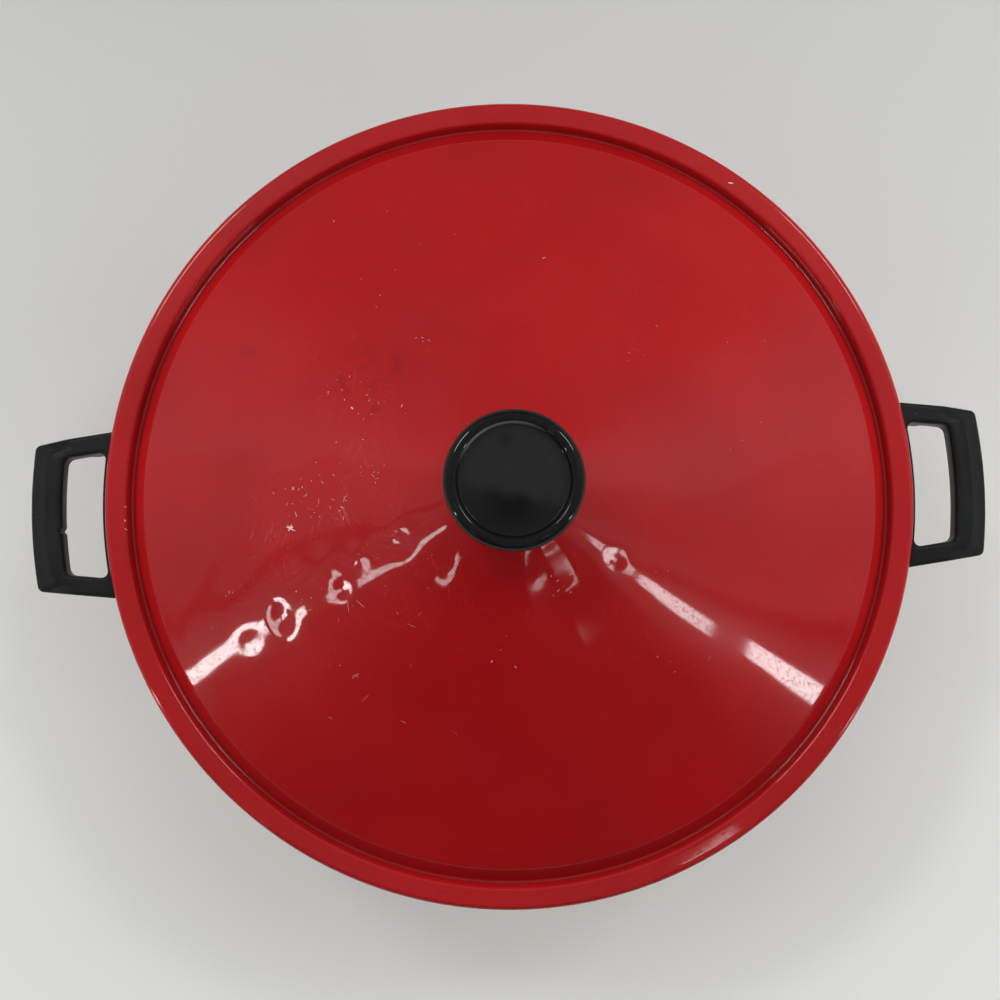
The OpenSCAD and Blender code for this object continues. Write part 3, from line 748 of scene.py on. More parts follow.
@dataclass(frozen=True)
class GlossMoulding(Finish):
    """Polished black moulding, dull where dish is painted, with a painted dark reflection in the dish and a
    painted highlight along the ring's inner edge.

    Attributes:
        dish_colour: Colour of the dull part.
        dish_roughness: Roughness of the dull part.
        rubbed_and_highlight: Colour of the painted highlight along the ring's inner edge.
        scratch: Colour of its scratches.
        polish: Weight of the polish.
        specular: Strength of the reflections under the polish.
        grain: Depth of the grain, in metres.
    """

    dish_colour: Colour = (0.0185, 0.0185, 0.0185)
    dish_roughness: float = 0.42
    rubbed_and_highlight: Colour = (0.26, 0.265, 0.27)
    scratch: Colour = (0.12, 0.12, 0.12)
    polish: float = 0.6
    specular: float = 0.12
    grain: float = 0.000004

    def wire(self, wiring: Wiring, shader: Node) -> None:
        """Wires the polish, the dull dish, its painted dark reflection and the painted highlight."""
        dish = wiring.painted("dish")
        smudges = wiring.effect(Effect.SMUDGES, scale=60.0)
        lines = wiring.effect(Effect.SCRATCHES, length=0.012, width=0.0009, amount=0.5)
        # Colour of the painted dark reflection in the dish.
        dark_reflection_colour = tuple(0.2 * part for part in self.dish_colour)
        dull = wiring.mix(wiring.painted("dish_dark_reflection"), self.dish_colour, dark_reflection_colour)
        colour = wiring.mix(dish, self.colour, dull)
        colour = wiring.mix(wiring.times(lines, 0.3), colour, self.scratch)
        # Painted highlight along the ring's inner edge.
        colour = wiring.mix(wiring.painted("edge"), colour, self.rubbed_and_highlight)
        matt = wiring.scale(smudges, self.dish_roughness, self.dish_roughness + 0.14)
        polish = wiring.scale(dish, self.polish, 0.0)
        wiring.feed(shader, {"Base Color": colour, "Roughness": matt, "Specular IOR Level": self.specular,
                             "Coat Weight": polish, "Coat Roughness": self.roughness})
        self.bump(wiring, shader, wiring.effect(Effect.GRAIN, scale=900.0), self.grain)


@dataclass(frozen=True)
class Metal(Finish):
    """Bare or plated metal with turned or rolled lines.

    Attributes:
        tarnish: Colour of dull patches.
        scratch: Colour of its scratches.
        lines: Depth of the lines, in metres.
    """

    tarnish: Colour = (0.3, 0.29, 0.27)
    scratch: Colour = (0.8, 0.8, 0.8)
    lines: float = 0.000006

    def wire(self, wiring: Wiring, shader: Node) -> None:
        """Wires the metal's tarnish, lines and scratches."""
        patches = wiring.effect(Effect.SMUDGES, scale=55.0)
        scratches = wiring.effect(Effect.SCRATCHES, length=0.02, width=0.001, amount=0.6)
        colour = wiring.mix(wiring.times(patches, 0.5), self.colour, self.tarnish)
        colour = wiring.mix(wiring.times(scratches, 0.5), colour, self.scratch)
        roughness = wiring.scale(patches, self.roughness, self.roughness + 0.18)
        wiring.feed(shader, {"Base Color": colour, "Roughness": roughness, "Metallic": 1.0})
        self.bump(wiring, shader, wiring.effect(Effect.SPUN, scale=1400.0), self.lines)


@dataclass(frozen=True)
class Grainy(Finish):
    """Plain matt stuff with a speckled colour and a rough grain.

    Attributes:
        speckle: Colour of its speckles.
        scale: Fineness of its grain.
        depth: Depth of its grain, in metres.
    """

    speckle: Colour = (0.1, 0.1, 0.1)
    scale: float = 1200.0
    depth: float = 0.00003

    def wire(self, wiring: Wiring, shader: Node) -> None:
        """Wires the speckles and the grain."""
        specks = wiring.effect(Effect.SPECKS, scale=self.scale / 2, size=0.35, amount=0.25)
        smudges = wiring.effect(Effect.SMUDGES, scale=45.0)
        colour = wiring.mix(wiring.times(specks, 0.5), self.colour, self.speckle)
        colour = wiring.mix(wiring.times(smudges, 0.35), colour, self.speckle)
        roughness = wiring.scale(smudges, self.roughness, self.roughness + 0.1)
        wiring.feed(shader, {"Base Color": colour, "Roughness": roughness})
        self.bump(wiring, shader, wiring.effect(Effect.GRAIN, scale=self.scale), self.depth)


LID_ENAMEL = Enamel("red enamel", (0.42, 0.006, 0.008), 0.3)
BOWL_ENAMEL = LinedEnamel("red enamel with lining", (0.42, 0.006, 0.008), 0.3)
GLOSS_BLACK = GlossMoulding("gloss black moulding", (0.003, 0.003, 0.0032), 0.05)
SATIN_BLACK = Moulding("satin black moulding", (0.006, 0.0067, 0.0067), 0.4)
BASE_BLACK = Moulding("base moulding", (0.013, 0.0135, 0.014), 0.36, grain=0.00003)
STEEL = Metal("plated steel", (0.55, 0.55, 0.56), 0.28)
ALUMINIUM = Metal("bare aluminium", (0.72, 0.72, 0.73), 0.32, tarnish=(0.48, 0.47, 0.45))
BRASS = Metal("turned brass", (0.6, 0.43, 0.16), 0.26, tarnish=(0.35, 0.24, 0.1))
SHEATH = Metal("heating sheath", (0.2, 0.19, 0.18), 0.42, tarnish=(0.07, 0.065, 0.06))
CERAMIC = Grainy("unglazed ceramic", (0.74, 0.7, 0.62), 0.62, speckle=(0.5, 0.46, 0.4))
FIBRE = Grainy("fibre board", (0.3, 0.24, 0.16), 0.78, speckle=(0.16, 0.12, 0.08), depth=0.00006)
PRIMER = Grainy("bared primer", (0.78, 0.62, 0.52), 0.6, speckle=(0.6, 0.36, 0.28), scale=4000.0)
RUBBER = Grainy("black rubber", (0.02, 0.02, 0.02), 0.68, speckle=(0.045, 0.044, 0.042))


@dataclass(frozen=True)
class Paper(Finish):
    """Matt paper of the floor, with painted light: lighter towards the front, against the wok's shade there.

    Attributes:
        back: Colour at the back; the change from it to the front colour is painted light.
        reach: Distance from the middle to where each colour is full, in metres.
        lift: Painted light: glow added at the front, where the floor is looked at or mirrored.
        grain: Depth of the grain, in metres.
    """

    back: Colour = (0.5, 0.5, 0.5)
    reach: float = 0.35
    lift: float = 0.1
    grain: float = 0.00001

    def wire(self, wiring: Wiring, shader: Node) -> None:
        """Wires the painted light towards the front and a fine grain."""
        # Colour and glow rise towards the front: painted light against the wok's shade.
        ahead = wiring.ramp(wiring.parts(wiring.place())[1], -self.reach, self.reach)
        colour = wiring.mix(ahead, self.colour, self.back)
        rays = wiring.add("ShaderNodeLightPath").outputs
        seen = wiring.math("MAXIMUM", rays["Is Camera Ray"], rays["Is Glossy Ray"])
        seen = wiring.math("MAXIMUM", seen, rays["Is Transmission Ray"])
        lift = wiring.times(seen, wiring.scale(ahead, self.lift, 0.0))
        wiring.feed(shader, {"Base Color": colour, "Roughness": self.roughness,
                             "Emission Color": colour, "Emission Strength": lift})
        self.bump(wiring, shader, wiring.effect(Effect.GRAIN, scale=900.0), self.grain)


PAPER = Paper("pale floor with painted light", (0.85, 0.865, 0.83), 0.7, back=(0.565, 0.57, 0.55))


# Lid


@dataclass(frozen=True)
class Mark:
    """Mark on the lid.

    Attributes:
        radius: Distance of its middle from the axis.
        angle: Angle of its middle, in degrees from the right handle.
    """

    radius: float
    angle: float

    @property
    def middle(self) -> np.ndarray:
        """Place of its middle, seen from above."""
        angle = math.radians(self.angle)
        return self.radius * np.array([math.cos(angle), math.sin(angle)])


@dataclass(frozen=True)
class Dent(Mark):
    """Shallow dent in the lid.

    Attributes:
        length: Reach along its own direction.
        width: Reach across it.
        turn: Angle of its own direction, in degrees.
        depth: Depth, or height where it is below zero.
        power: Flatness of its bottom, with a soft dent at 1 and a creased one below.
    """

    length: float
    width: float
    turn: float
    depth: float
    power: float = 1.0

    def press(self, points: np.ndarray) -> np.ndarray:
        """Depth of the dent at each point."""
        turn = math.radians(self.turn)
        x, y = (points[:, :2] - self.middle).T
        along = (x * math.cos(turn) + y * math.sin(turn)) / self.length
        across = (y * math.cos(turn) - x * math.sin(turn)) / self.width
        return self.depth * np.exp(-((along**2 + across**2) ** self.power))


@dataclass(frozen=True)
class Patch(Mark):
    """Stretch of the lid that is worn or darkened more than the rest; the darkened ones are partly stains
    and partly painted dark reflections of shallow dents.

    Attributes:
        reach: Distance over which the wear fades.
        amount: Wear in the middle.
    """

    reach: float
    amount: float

    def wear(self, points: np.ndarray) -> np.ndarray:
        """Wear or darkening at each point."""
        return self.amount * nearness(points[:, :2], self.middle, self.reach)


@dataclass(frozen=True)
class Scuff(Mark):
    """Group of small flakes and scratches in the lid's enamel.

    Attributes:
        spread: Distance over which the flakes lie.
        count: Number of flakes.
        length: Length of the longest flake.
        width: Width of the widest flake.
    """

    spread: float
    count: int
    length: float
    width: float


DENTS = (
    Dent(126.5, 207.2, 6, 5.5, 25, 0.28),
    Dent(109, 206.4, 7.5, 5, 105, 0.75),
    Dent(81, 198.5, 6.5, 6, 25, -0.5),
    Dent(81, 208, 3.5, 4, 25, 0.3),
    Dent(68, 200.5, 4.5, 4.5, 25, -0.45),
    Dent(48, 193, 6, 6, 100, -0.6),
    Dent(50.6, 205, 5, 5, 25, 0.3),
    Dent(40.6, 225, 5, 3, 100, 0.3, 0.8),
    Dent(36.7, 240.5, 5, 4, 20, 0.2),
    Dent(36.8, 262, 6, 4, 0, 0.15, 0.8),
    Dent(36.8, 283, 5, 3, 70, 0.08, 0.9),
    Dent(46.8, 296.5, 5, 4, 40, -0.12, 0.8),
    Dent(44.6, 310.2, 6, 4, 120, 0.14, 0.9),
    Dent(50.4, 323, 4, 4, 150, 0.3, 0.8),
    Dent(58.2, 334, 6, 5, 60, 0.2),
    Dent(101, 80, 4, 3, 0, 0.12),
    Dent(91.5, 163, 18, 9, 40, 0.3),
    Dent(72, 174, 12, 7, 90, 0.35),
    Dent(126, 193, 16, 8, 60, 0.35),
    Dent(78, 7, 16, 9, 20, 0.3),
    Dent(86, 342, 10, 6, 70, 0.2),
    Dent(108, 343, 12, 8, 100, 0.22),
    Dent(134, 346, 12, 8, 80, 0.25),
    Dent(140, 177, 12, 7, 70, 0.3),
    Dent(110, 175, 10, 6, 110, 0.25),
    Dent(146, 241, 8, 5, 60, 0.3),
    Dent(144, 278, 5, 7, 10, 0.2),
)

PATCHES = (
    Patch(92, 186, 24, 0.75),
    Patch(70, 196, 26, 0.7),
    Patch(45, 232, 22, 0.5),
    Patch(70, 150, 26, 0.6),
    Patch(105, 143, 18, 0.45),
    Patch(88, 45, 16, 0.4),
    Patch(45, 300, 24, 0.45),
    Patch(108, 208, 26, 0.4),
)

# Dark blots on the lid: partly stains, partly painted dark reflections of shallow dents.
STAINS_AND_DARK_REFLECTIONS = (
    Patch(83.5, 136, 5, 0.8),
    Patch(71, 130, 5, 0.7),
    Patch(82.5, 146, 5, 0.8),
    Patch(69, 140, 4, 0.9),
    Patch(65, 147, 4, 0.9),
    Patch(128, 149.5, 4, 0.6),
)

SCUFFS = (
    Scuff(93, 187, 0.3, 6, 5.4, 0.9),
    Scuff(90, 178, 9.0, 12, 2.2, 0.35),
    Scuff(82, 182, 10.0, 14, 2.8, 0.25),
    Scuff(70, 182, 7.0, 9, 3.2, 0.22),
    Scuff(58, 172, 6.0, 8, 2.4, 0.22),
    Scuff(70, 166, 14.0, 8, 1.2, 0.3),
    Scuff(127, 197, 2.0, 3, 4.2, 0.35),
    Scuff(137, 202, 3.0, 4, 3.0, 0.25),
    Scuff(82, 213, 10.0, 6, 6.0, 0.14),
    Scuff(70, 228, 12.0, 6, 7.0, 0.12),
    Scuff(86, 146, 10.0, 9, 1.0, 0.35),
    Scuff(64, 143, 7.0, 8, 1.6, 0.3),
    Scuff(101, 80, 0.4, 2, 1.9, 1.2),
    Scuff(172, 53, 0.6, 2, 3.0, 0.8),
    Scuff(168.6, 179.0, 0.3, 2, 1.0, 0.6),
    Scuff(168.8, 181.0, 0.5, 3, 1.0, 0.5),
    Scuff(168.7, 182.4, 0.5, 3, 0.9, 0.5),
    Scuff(85, 45, 10.0, 5, 1.2, 0.3),
    Scuff(44, 292, 8.0, 8, 1.6, 0.3),
    Scuff(39, 226, 5.0, 6, 1.6, 0.35),
    Scuff(95, 206, 6.0, 6, 1.2, 0.4),
    Scuff(66, 265, 5.0, 4, 1.6, 0.35),
    Scuff(100, 240, 26.0, 8, 6.0, 0.12),
    Scuff(90, 316, 22.0, 8, 2.6, 0.16),
    Scuff(110, 110, 40.0, 9, 1.2, 0.3),
    Scuff(120, 20, 30.0, 6, 1.2, 0.3),
    Scuff(176.5, 322.5, 4.0, 5, 1.2, 0.2),
    Scuff(72, 119, 3.0, 5, 1.2, 0.4),
    Scuff(74, 150.5, 0.3, 1, 2.0, 0.9),
)


@dataclass
class Lid:
    """Pressed conical lid with a groove near its edge.

    Attributes:
        thickness: Thickness of its sheet.
        hole_r: Radius of the hole for the knob's screw.
        seat_r: Radius of the flat seat under the knob.
        seat_bend: Radius of the bend round that seat.
        groove_depth: Depth of the groove.
        groove_r: Radius of the groove's outer edge.
        groove_w: Width of the groove, from the cone's foot to the flange.
        groove_floor_w: Width of the groove's floor.
        groove_wall_w: Width of the groove's steep outer wall.
        groove_bend: Radius of the bends at the groove's floor.
        cone_foot_h: Height of the cone's foot above the flange.
        lip: Drop of the turned-down edge.
        lip_bend: Radius of the bend above the lip.
        bend: Radius of the other sharp bends.
        waves: Length, direction in radians and height of each wave in the sheet.
        even: Middle and reach of the stretch without waves, in radians.
        fade: Distance over which dents and waves fade towards the knob and the groove.
        flake_h: Thickness of a flake.
        flake_seed: Seed of the flakes' places, sizes and turns.
        segments: Segments round the axis.
        arc_step: Largest turn of one step on a bend, in degrees.
        edge_r: Radius of its edge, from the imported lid.
        seat_z: Height of its seat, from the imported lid.
        flange_z: Height of its flange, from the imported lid.
    """

    thickness: float = 1.4
    hole_r: float = 2.3
    seat_r: float = 18.0
    seat_bend: float = 10.0
    groove_depth: float = 4.0
    groove_r: float = 168.4
    groove_w: float = 8.4
    groove_floor_w: float = 1.2
    groove_wall_w: float = 1.5
    groove_bend: float = 0.9
    cone_foot_h: float = 2.2
    lip: float = 4.0
    lip_bend: float = 2.4
    bend: float = 1.7
    waves: tuple[tuple[float, float, float], ...] = (
        (64.0, 0.5, 0.12), (41.0, 1.7, 0.07), (83.0, 2.6, 0.14), (27.0, 2.1, 0.025))
    even: tuple[float, float] = (-0.58, 0.3)
    fade: float = 6.0
    flake_h: float = 0.12
    flake_seed: int = 11
    segments: int = 384
    arc_step: float = 8.0
    edge_r: float = field(init=False)
    seat_z: float = field(init=False)
    flange_z: float = field(init=False)

    def __post_init__(self) -> None:
        """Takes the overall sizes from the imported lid."""
        low, high = node_box("lid_shell")
        self.edge_r, self.seat_z = high[0], high[2]
        self.flange_z = low[2] + self.groove_depth + self.thickness

    @property
    def cone_foot_r(self) -> float:
        """Radius where the cone meets the groove."""
        return self.groove_r - self.groove_w

    def face(self) -> np.ndarray:
        """Outline of the lid's upper face, from the knob's screw to the lip."""
        floor_r = self.groove_r - self.groove_wall_w
        floor_z = self.flange_z - self.groove_depth
        corners = [
            Corner(self.hole_r, self.seat_z),
            Corner(self.seat_r, self.seat_z, self.seat_bend),
            Corner(self.cone_foot_r, self.flange_z + self.cone_foot_h, self.bend),
            Corner(floor_r - self.groove_floor_w, floor_z, self.groove_bend),
            Corner(floor_r, floor_z, self.groove_bend),
            Corner(self.groove_r, self.flange_z, self.bend),
            Corner(self.edge_r, self.flange_z, self.lip_bend),
            Corner(self.edge_r, self.flange_z - self.lip),
        ]
        return rounded_outline(corners, self.arc_step)

    def shape(self) -> Shape:
        """Form of the lid, with its dents."""
        face = self.face()
        under = beside(face, self.thickness)
        outline = np.concatenate([spaced(face, gap=1.5), spaced(under[::-1], gap=5.0)])
        shape = lathe(outline, self.segments, closed=True)
        shape.points[:, 2] -= self.dented(shape.points)
        return shape

    def dented(self, points: np.ndarray) -> np.ndarray:
        """How far each point of the lid is pressed down."""
        radius, angle = axis_r(points), np.arctan2(points[:, 1], points[:, 0])
        inner = np.clip((radius - self.seat_r - self.fade) / self.fade, 0, 1)
        outer = np.clip((self.cone_foot_r - self.fade / 2 - radius) / self.fade, 0, 1)
        depth = sum(dent.press(points) for dent in DENTS)
        uneven = 1 - hump(angle, *self.even)
        for length, turn, height in self.waves:
            along = points[:, 0] * math.cos(turn) + points[:, 1] * math.sin(turn)
            depth = depth + uneven * height * np.cos(2 * math.pi * along / length + turn)
        return depth * inner * outer

    def grime_and_shade(self, points: np.ndarray) -> np.ndarray:
        """Darkening in the groove and round the knob's foot: partly dirt, partly painted shade."""
        floor_r = self.groove_r - self.groove_wall_w - self.groove_floor_w / 2
        groove = nearness(profile(points), (floor_r, self.flange_z - self.groove_depth), reach=1.6)
        return groove + 0.6 * nearness(profile(points), (self.seat_r - 2.5, self.seat_z), reach=2.5)

    def edges(self, points: np.ndarray) -> np.ndarray:
        """Edges that get knocked: the rim, most at its front right, and the groove's bead."""
        rim = nearness(profile(points), (self.edge_r - 0.4, self.flange_z - 0.6), reach=1.0)
        knocked = 0.35 + 0.4 * np.cos(np.arctan2(points[:, 1], points[:, 0]) - math.radians(320))
        bead = nearness(profile(points), (self.groove_r + 0.6, self.flange_z), reach=0.8)
        return rim * np.clip(knocked, 0, 1) + 0.5 * bead

    def height(self, x: np.ndarray, y: np.ndarray) -> np.ndarray:
        """Height of the lid's upper face at each place."""
        face = self.face()
        sheet = np.interp(np.hypot(x, y), face[:, 0], face[:, 1])
        return sheet - self.dented(np.stack([x, y], 1))

    def flakes(self) -> None:
        """Chips the enamel where the scuffs are."""
        rng = np.random.default_rng(self.flake_seed)
        rows: list[np.ndarray] = []
        for scuff in SCUFFS:
            places = scuff.middle + scuff.spread * rng.normal(0.0, 0.6, (scuff.count, 2))
            share = rng.uniform(0.35, 1.0, (scuff.count, 2)) ** (2.2, 1.0)
            turn = rng.uniform(0.0, math.pi, (scuff.count, 1))
            rows.append(np.hstack([places, share * (scuff.length, scuff.width), turn]))
        x, y, length, width, turn = np.concatenate(rows).T
        step = 0.5
        slope_x = (self.height(x + step, y) - self.height(x - step, y)) / (2 * step)
        slope_y = (self.height(x, y + step) - self.height(x, y - step)) / (2 * step)
        seats = np.stack([x, y, self.height(x, y)], 1)
        flat = np.zeros_like(x)
        vectors = {
            "facing": np.stack([-slope_x, -slope_y, np.ones_like(x)], 1),
            "size": np.stack([length, width, np.full_like(x, self.flake_h)], 1) * MM / 2,
            "turn": np.stack([flat, flat, turn], 1),
        }
        tree = geometry_group("paint flakes", flake_tree)
        piece = grow("lid_flakes", seats, tree, PRIMER, vectors=vectors)
        place(piece, Body.LID, Slot.RED_ENAMEL)

    def build(self) -> None:
        """Builds and dresses the lid."""
        piece = make_piece("lid_shell_dressed", self.shape(), sharp=50.0)
        # Dirt and painted shade in the groove and round the knob's foot.
        paint(piece, "grime_and_shade", self.grime_and_shade)
        paint(piece, "edge", self.edges)
        paint(piece, "wear", lambda points: sum(patch.wear(points) for patch in PATCHES))
        # Blots that are partly stains and partly painted dark reflections of shallow dents.
        paint(piece, "stain_and_dark_reflection", lambda points: sum(patch.wear(points) for patch in STAINS_AND_DARK_REFLECTIONS))
        LID_ENAMEL.dress(piece)
        place(piece, Body.LID, Slot.RED_ENAMEL, "lid_shell")
        self.flakes()


@dataclass
class Knob:
    """Turned black knob with a dished top.

    Attributes:
        foot_r: Radius of its foot.
        foot_h: Height of the foot's straight edge.
        foot_edge: Radius of the foot's lower edge.
        foot_bend: Radius of the foot's upper edge.
        neck_r: Radius of its neck.
        waist_h: Height from the foot's edge to the neck.
        waist_bend: Radius of the bends at the neck and under the side.
        side_h: Height of its straight side.
        crown_bend: Radius of the bend from the side to the ring.
        ring_w: Width of the raised ring.
        ring_bend: Radius of the ring's inner edge.
        slope_w: Width of the slope from the ring to the dish.
        dish: Depth of the dish.
        dish_bend: Radius of the bend at the dish's floor.
        bore_r: Radius of the bore for its insert.
        bore_h: Depth of that bore.
        segments: Segments round the axis.
        radius: Radius of its side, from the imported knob.
        foot_z: Height of its foot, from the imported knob.
        top_z: Height of its ring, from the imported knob.
    """

    foot_r: float = 15.5
    foot_h: float = 3.0
    foot_edge: float = 0.6
    foot_bend: float = 1.0
    neck_r: float = 12.5
    waist_h: float = 4.0
    waist_bend: float = 4.0
    side_h: float = 8.0
    crown_bend: float = 3.0
    ring_w: float = 4.8
    ring_bend: float = 1.8
    slope_w: float = 1.0
    dish: float = 2.5
    dish_bend: float = 0.8
    bore_r: float = 4.05
    bore_h: float = 14.0
    segments: int = 160
    radius: float = field(init=False)
    foot_z: float = field(init=False)
    top_z: float = field(init=False)

    def __post_init__(self) -> None:
        """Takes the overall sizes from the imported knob."""
        low, high = node_box("lid_knob")
        self.radius, self.foot_z, self.top_z = high[0], low[2], high[2]

    @property
    def dish_r(self) -> float:
        """Radius of the dish's floor."""
        return self.radius - self.ring_w - self.slope_w

    def shape(self) -> Shape:
        """Form of the knob."""
        corners = [
            Corner(0.0, self.foot_z + self.bore_h),
            Corner(self.bore_r, self.foot_z + self.bore_h),
            Corner(self.bore_r, self.foot_z),
            Corner(self.foot_r, self.foot_z, self.foot_edge),
            Corner(self.foot_r, self.foot_z + self.foot_h, self.foot_bend),
            Corner(self.neck_r, self.foot_z + self.foot_h + self.waist_h, self.waist_bend),
            Corner(self.radius, self.top_z - self.side_h, self.waist_bend),
            Corner(self.radius, self.top_z, self.crown_bend),
            Corner(self.radius - self.ring_w, self.top_z, self.ring_bend),
            Corner(self.dish_r, self.top_z - self.dish, self.dish_bend),
            Corner(0.0, self.top_z - self.dish),
        ]
        outline = spaced(rounded_outline(corners, step=5.0), gap=2.0)
        return lathe(outline, self.segments, closed=False)

    def dull(self, points: np.ndarray) -> np.ndarray:
        """The dish's floor, which isn't polished."""
        floor = np.abs(points[:, 2] - self.top_z + self.dish) < 0.3
        return floor * np.clip((self.dish_r + 0.4 - axis_r(points)) / 1.2, 0, 1)

    def dish_dark_reflection(self, points: np.ndarray) -> np.ndarray:
        """Painted dark reflection over the front of the dish, and a smaller dark spot at its back."""
        x, y = points[:, 0], points[:, 1]
        edge = np.clip((-3.0 - y - 0.25 * x + 0.8 * np.sin(0.6 * x)) / 5.0, 0, 1)
        fade = nearness(points[:, :2] * (1.0, 1.3), (-1.0, -13.0), reach=13.0)
        return edge * fade ** 0.5 + 0.45 * nearness(points[:, :2], (-2.5, 15.5), reach=2.6)

    def rubbed_and_highlight(self, points: np.ndarray) -> np.ndarray:
        """Painted highlight along the ring's inner edge at the back."""
        above = points[:, 2] > self.top_z - self.dish - 0.1
        back = hump(np.arctan2(points[:, 1], points[:, 0]), middle=1.85, reach=0.75, power=4)
        return hump(axis_r(points), self.dish_r + 0.5, reach=0.35) * above * back

    def build(self) -> None:
        """Builds and dresses the knob."""
        piece = make_piece("lid_knob_dressed", self.shape(), sharp=60.0)
        paint(piece, "dish", self.dull)
        # The dish gets a painted dark reflection.
        paint(piece, "dish_dark_reflection", self.dish_dark_reflection)
        # The ring's inner edge gets a painted highlight.
        paint(piece, "edge", self.rubbed_and_highlight)
        GLOSS_BLACK.dress(piece)
        place(piece, Body.LID, Slot.GLOSS, "lid_knob")


# Bowl and handles


@dataclass
class Bowl:
    """Flared bowl with a flat rim, enamelled outside and lined inside.

    Attributes:
        thickness: Thickness of its sheet.
        mouth_r: Inside radius of the mouth.
        flat_r: Radius of its flat bottom, inside.
        curve_r: Inside radius between the bottom and the wall.
        slope: Slope of the wall, in degrees.
        mouth_bend: Radius of the bend under the rim.
        rim_bend: Radius of the rim's edges.
        lined_w: Width of the rim's lined edge.
        segments: Segments round the axis.
        rim_r: Radius of the rim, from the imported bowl.
        rim_z: Height of the rim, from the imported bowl.
        floor_z: Height of the floor inside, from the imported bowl.
    """

    thickness: float = 2.0
    mouth_r: float = 170.5
    flat_r: float = 56.0
    curve_r: float = 98.0
    slope: float = 60.0
    mouth_bend: float = 0.3
    rim_bend: float = 0.7
    lined_w: float = 0.6
    segments: int = 256
    rim_r: float = field(init=False)
    rim_z: float = field(init=False)
    floor_z: float = field(init=False)

    def __post_init__(self) -> None:
        """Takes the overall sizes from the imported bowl."""
        low, high = node_box("wok_bowl")
        self.rim_r, self.rim_z = high[0], high[2]
        self.floor_z = low[2] + self.thickness

    @staticmethod
    def nearest(points: np.ndarray, outline: np.ndarray) -> np.ndarray:
        """Number of the outline's corner that each point was turned from."""
        return np.linalg.norm(profile(points)[:, None] - outline[None], axis=2).argmin(1)

    def wall_r(self, height: float) -> float:
        """Outer radius of the straight wall at a height."""
        slope = math.radians(self.slope)
        return self.mouth_r - (self.rim_z - height) / math.tan(slope) + self.thickness / math.sin(slope)

    def build(self) -> None:
        """Builds and dresses the bowl."""
        half = math.tan(math.radians(self.slope / 2))
        foot_r, widen = self.flat_r + self.curve_r * half, self.thickness * half
        under_z, under_rim_z = self.floor_z - self.thickness, self.rim_z - self.thickness
        corners = [
            Corner(0.0, self.floor_z),
            Corner(foot_r, self.floor_z, self.curve_r),
            Corner(self.mouth_r, self.rim_z, self.thickness + self.mouth_bend),
            Corner(self.rim_r, self.rim_z, self.rim_bend),
            Corner(self.rim_r, under_rim_z, self.rim_bend),
            Corner(self.mouth_r + widen, under_rim_z, self.mouth_bend),
            Corner(foot_r + widen, under_z, self.curve_r + self.thickness),
            Corner(0.0, under_z),
        ]
        outline = spaced(rounded_outline(corners, step=3.0), gap=4.0)
        shape = lathe(outline, self.segments, closed=False)
        piece = make_piece("wok_bowl_dressed", shape, sharp=50.0)
        rim = int(np.argmax(outline[:, 0] > self.mouth_r + self.lined_w))
        paint(piece, "lining", lambda points: self.nearest(points, outline) < rim)
        BOWL_ENAMEL.dress(piece)
        place(piece, Body.WOK, Slot.RED_ENAMEL, "wok_bowl")


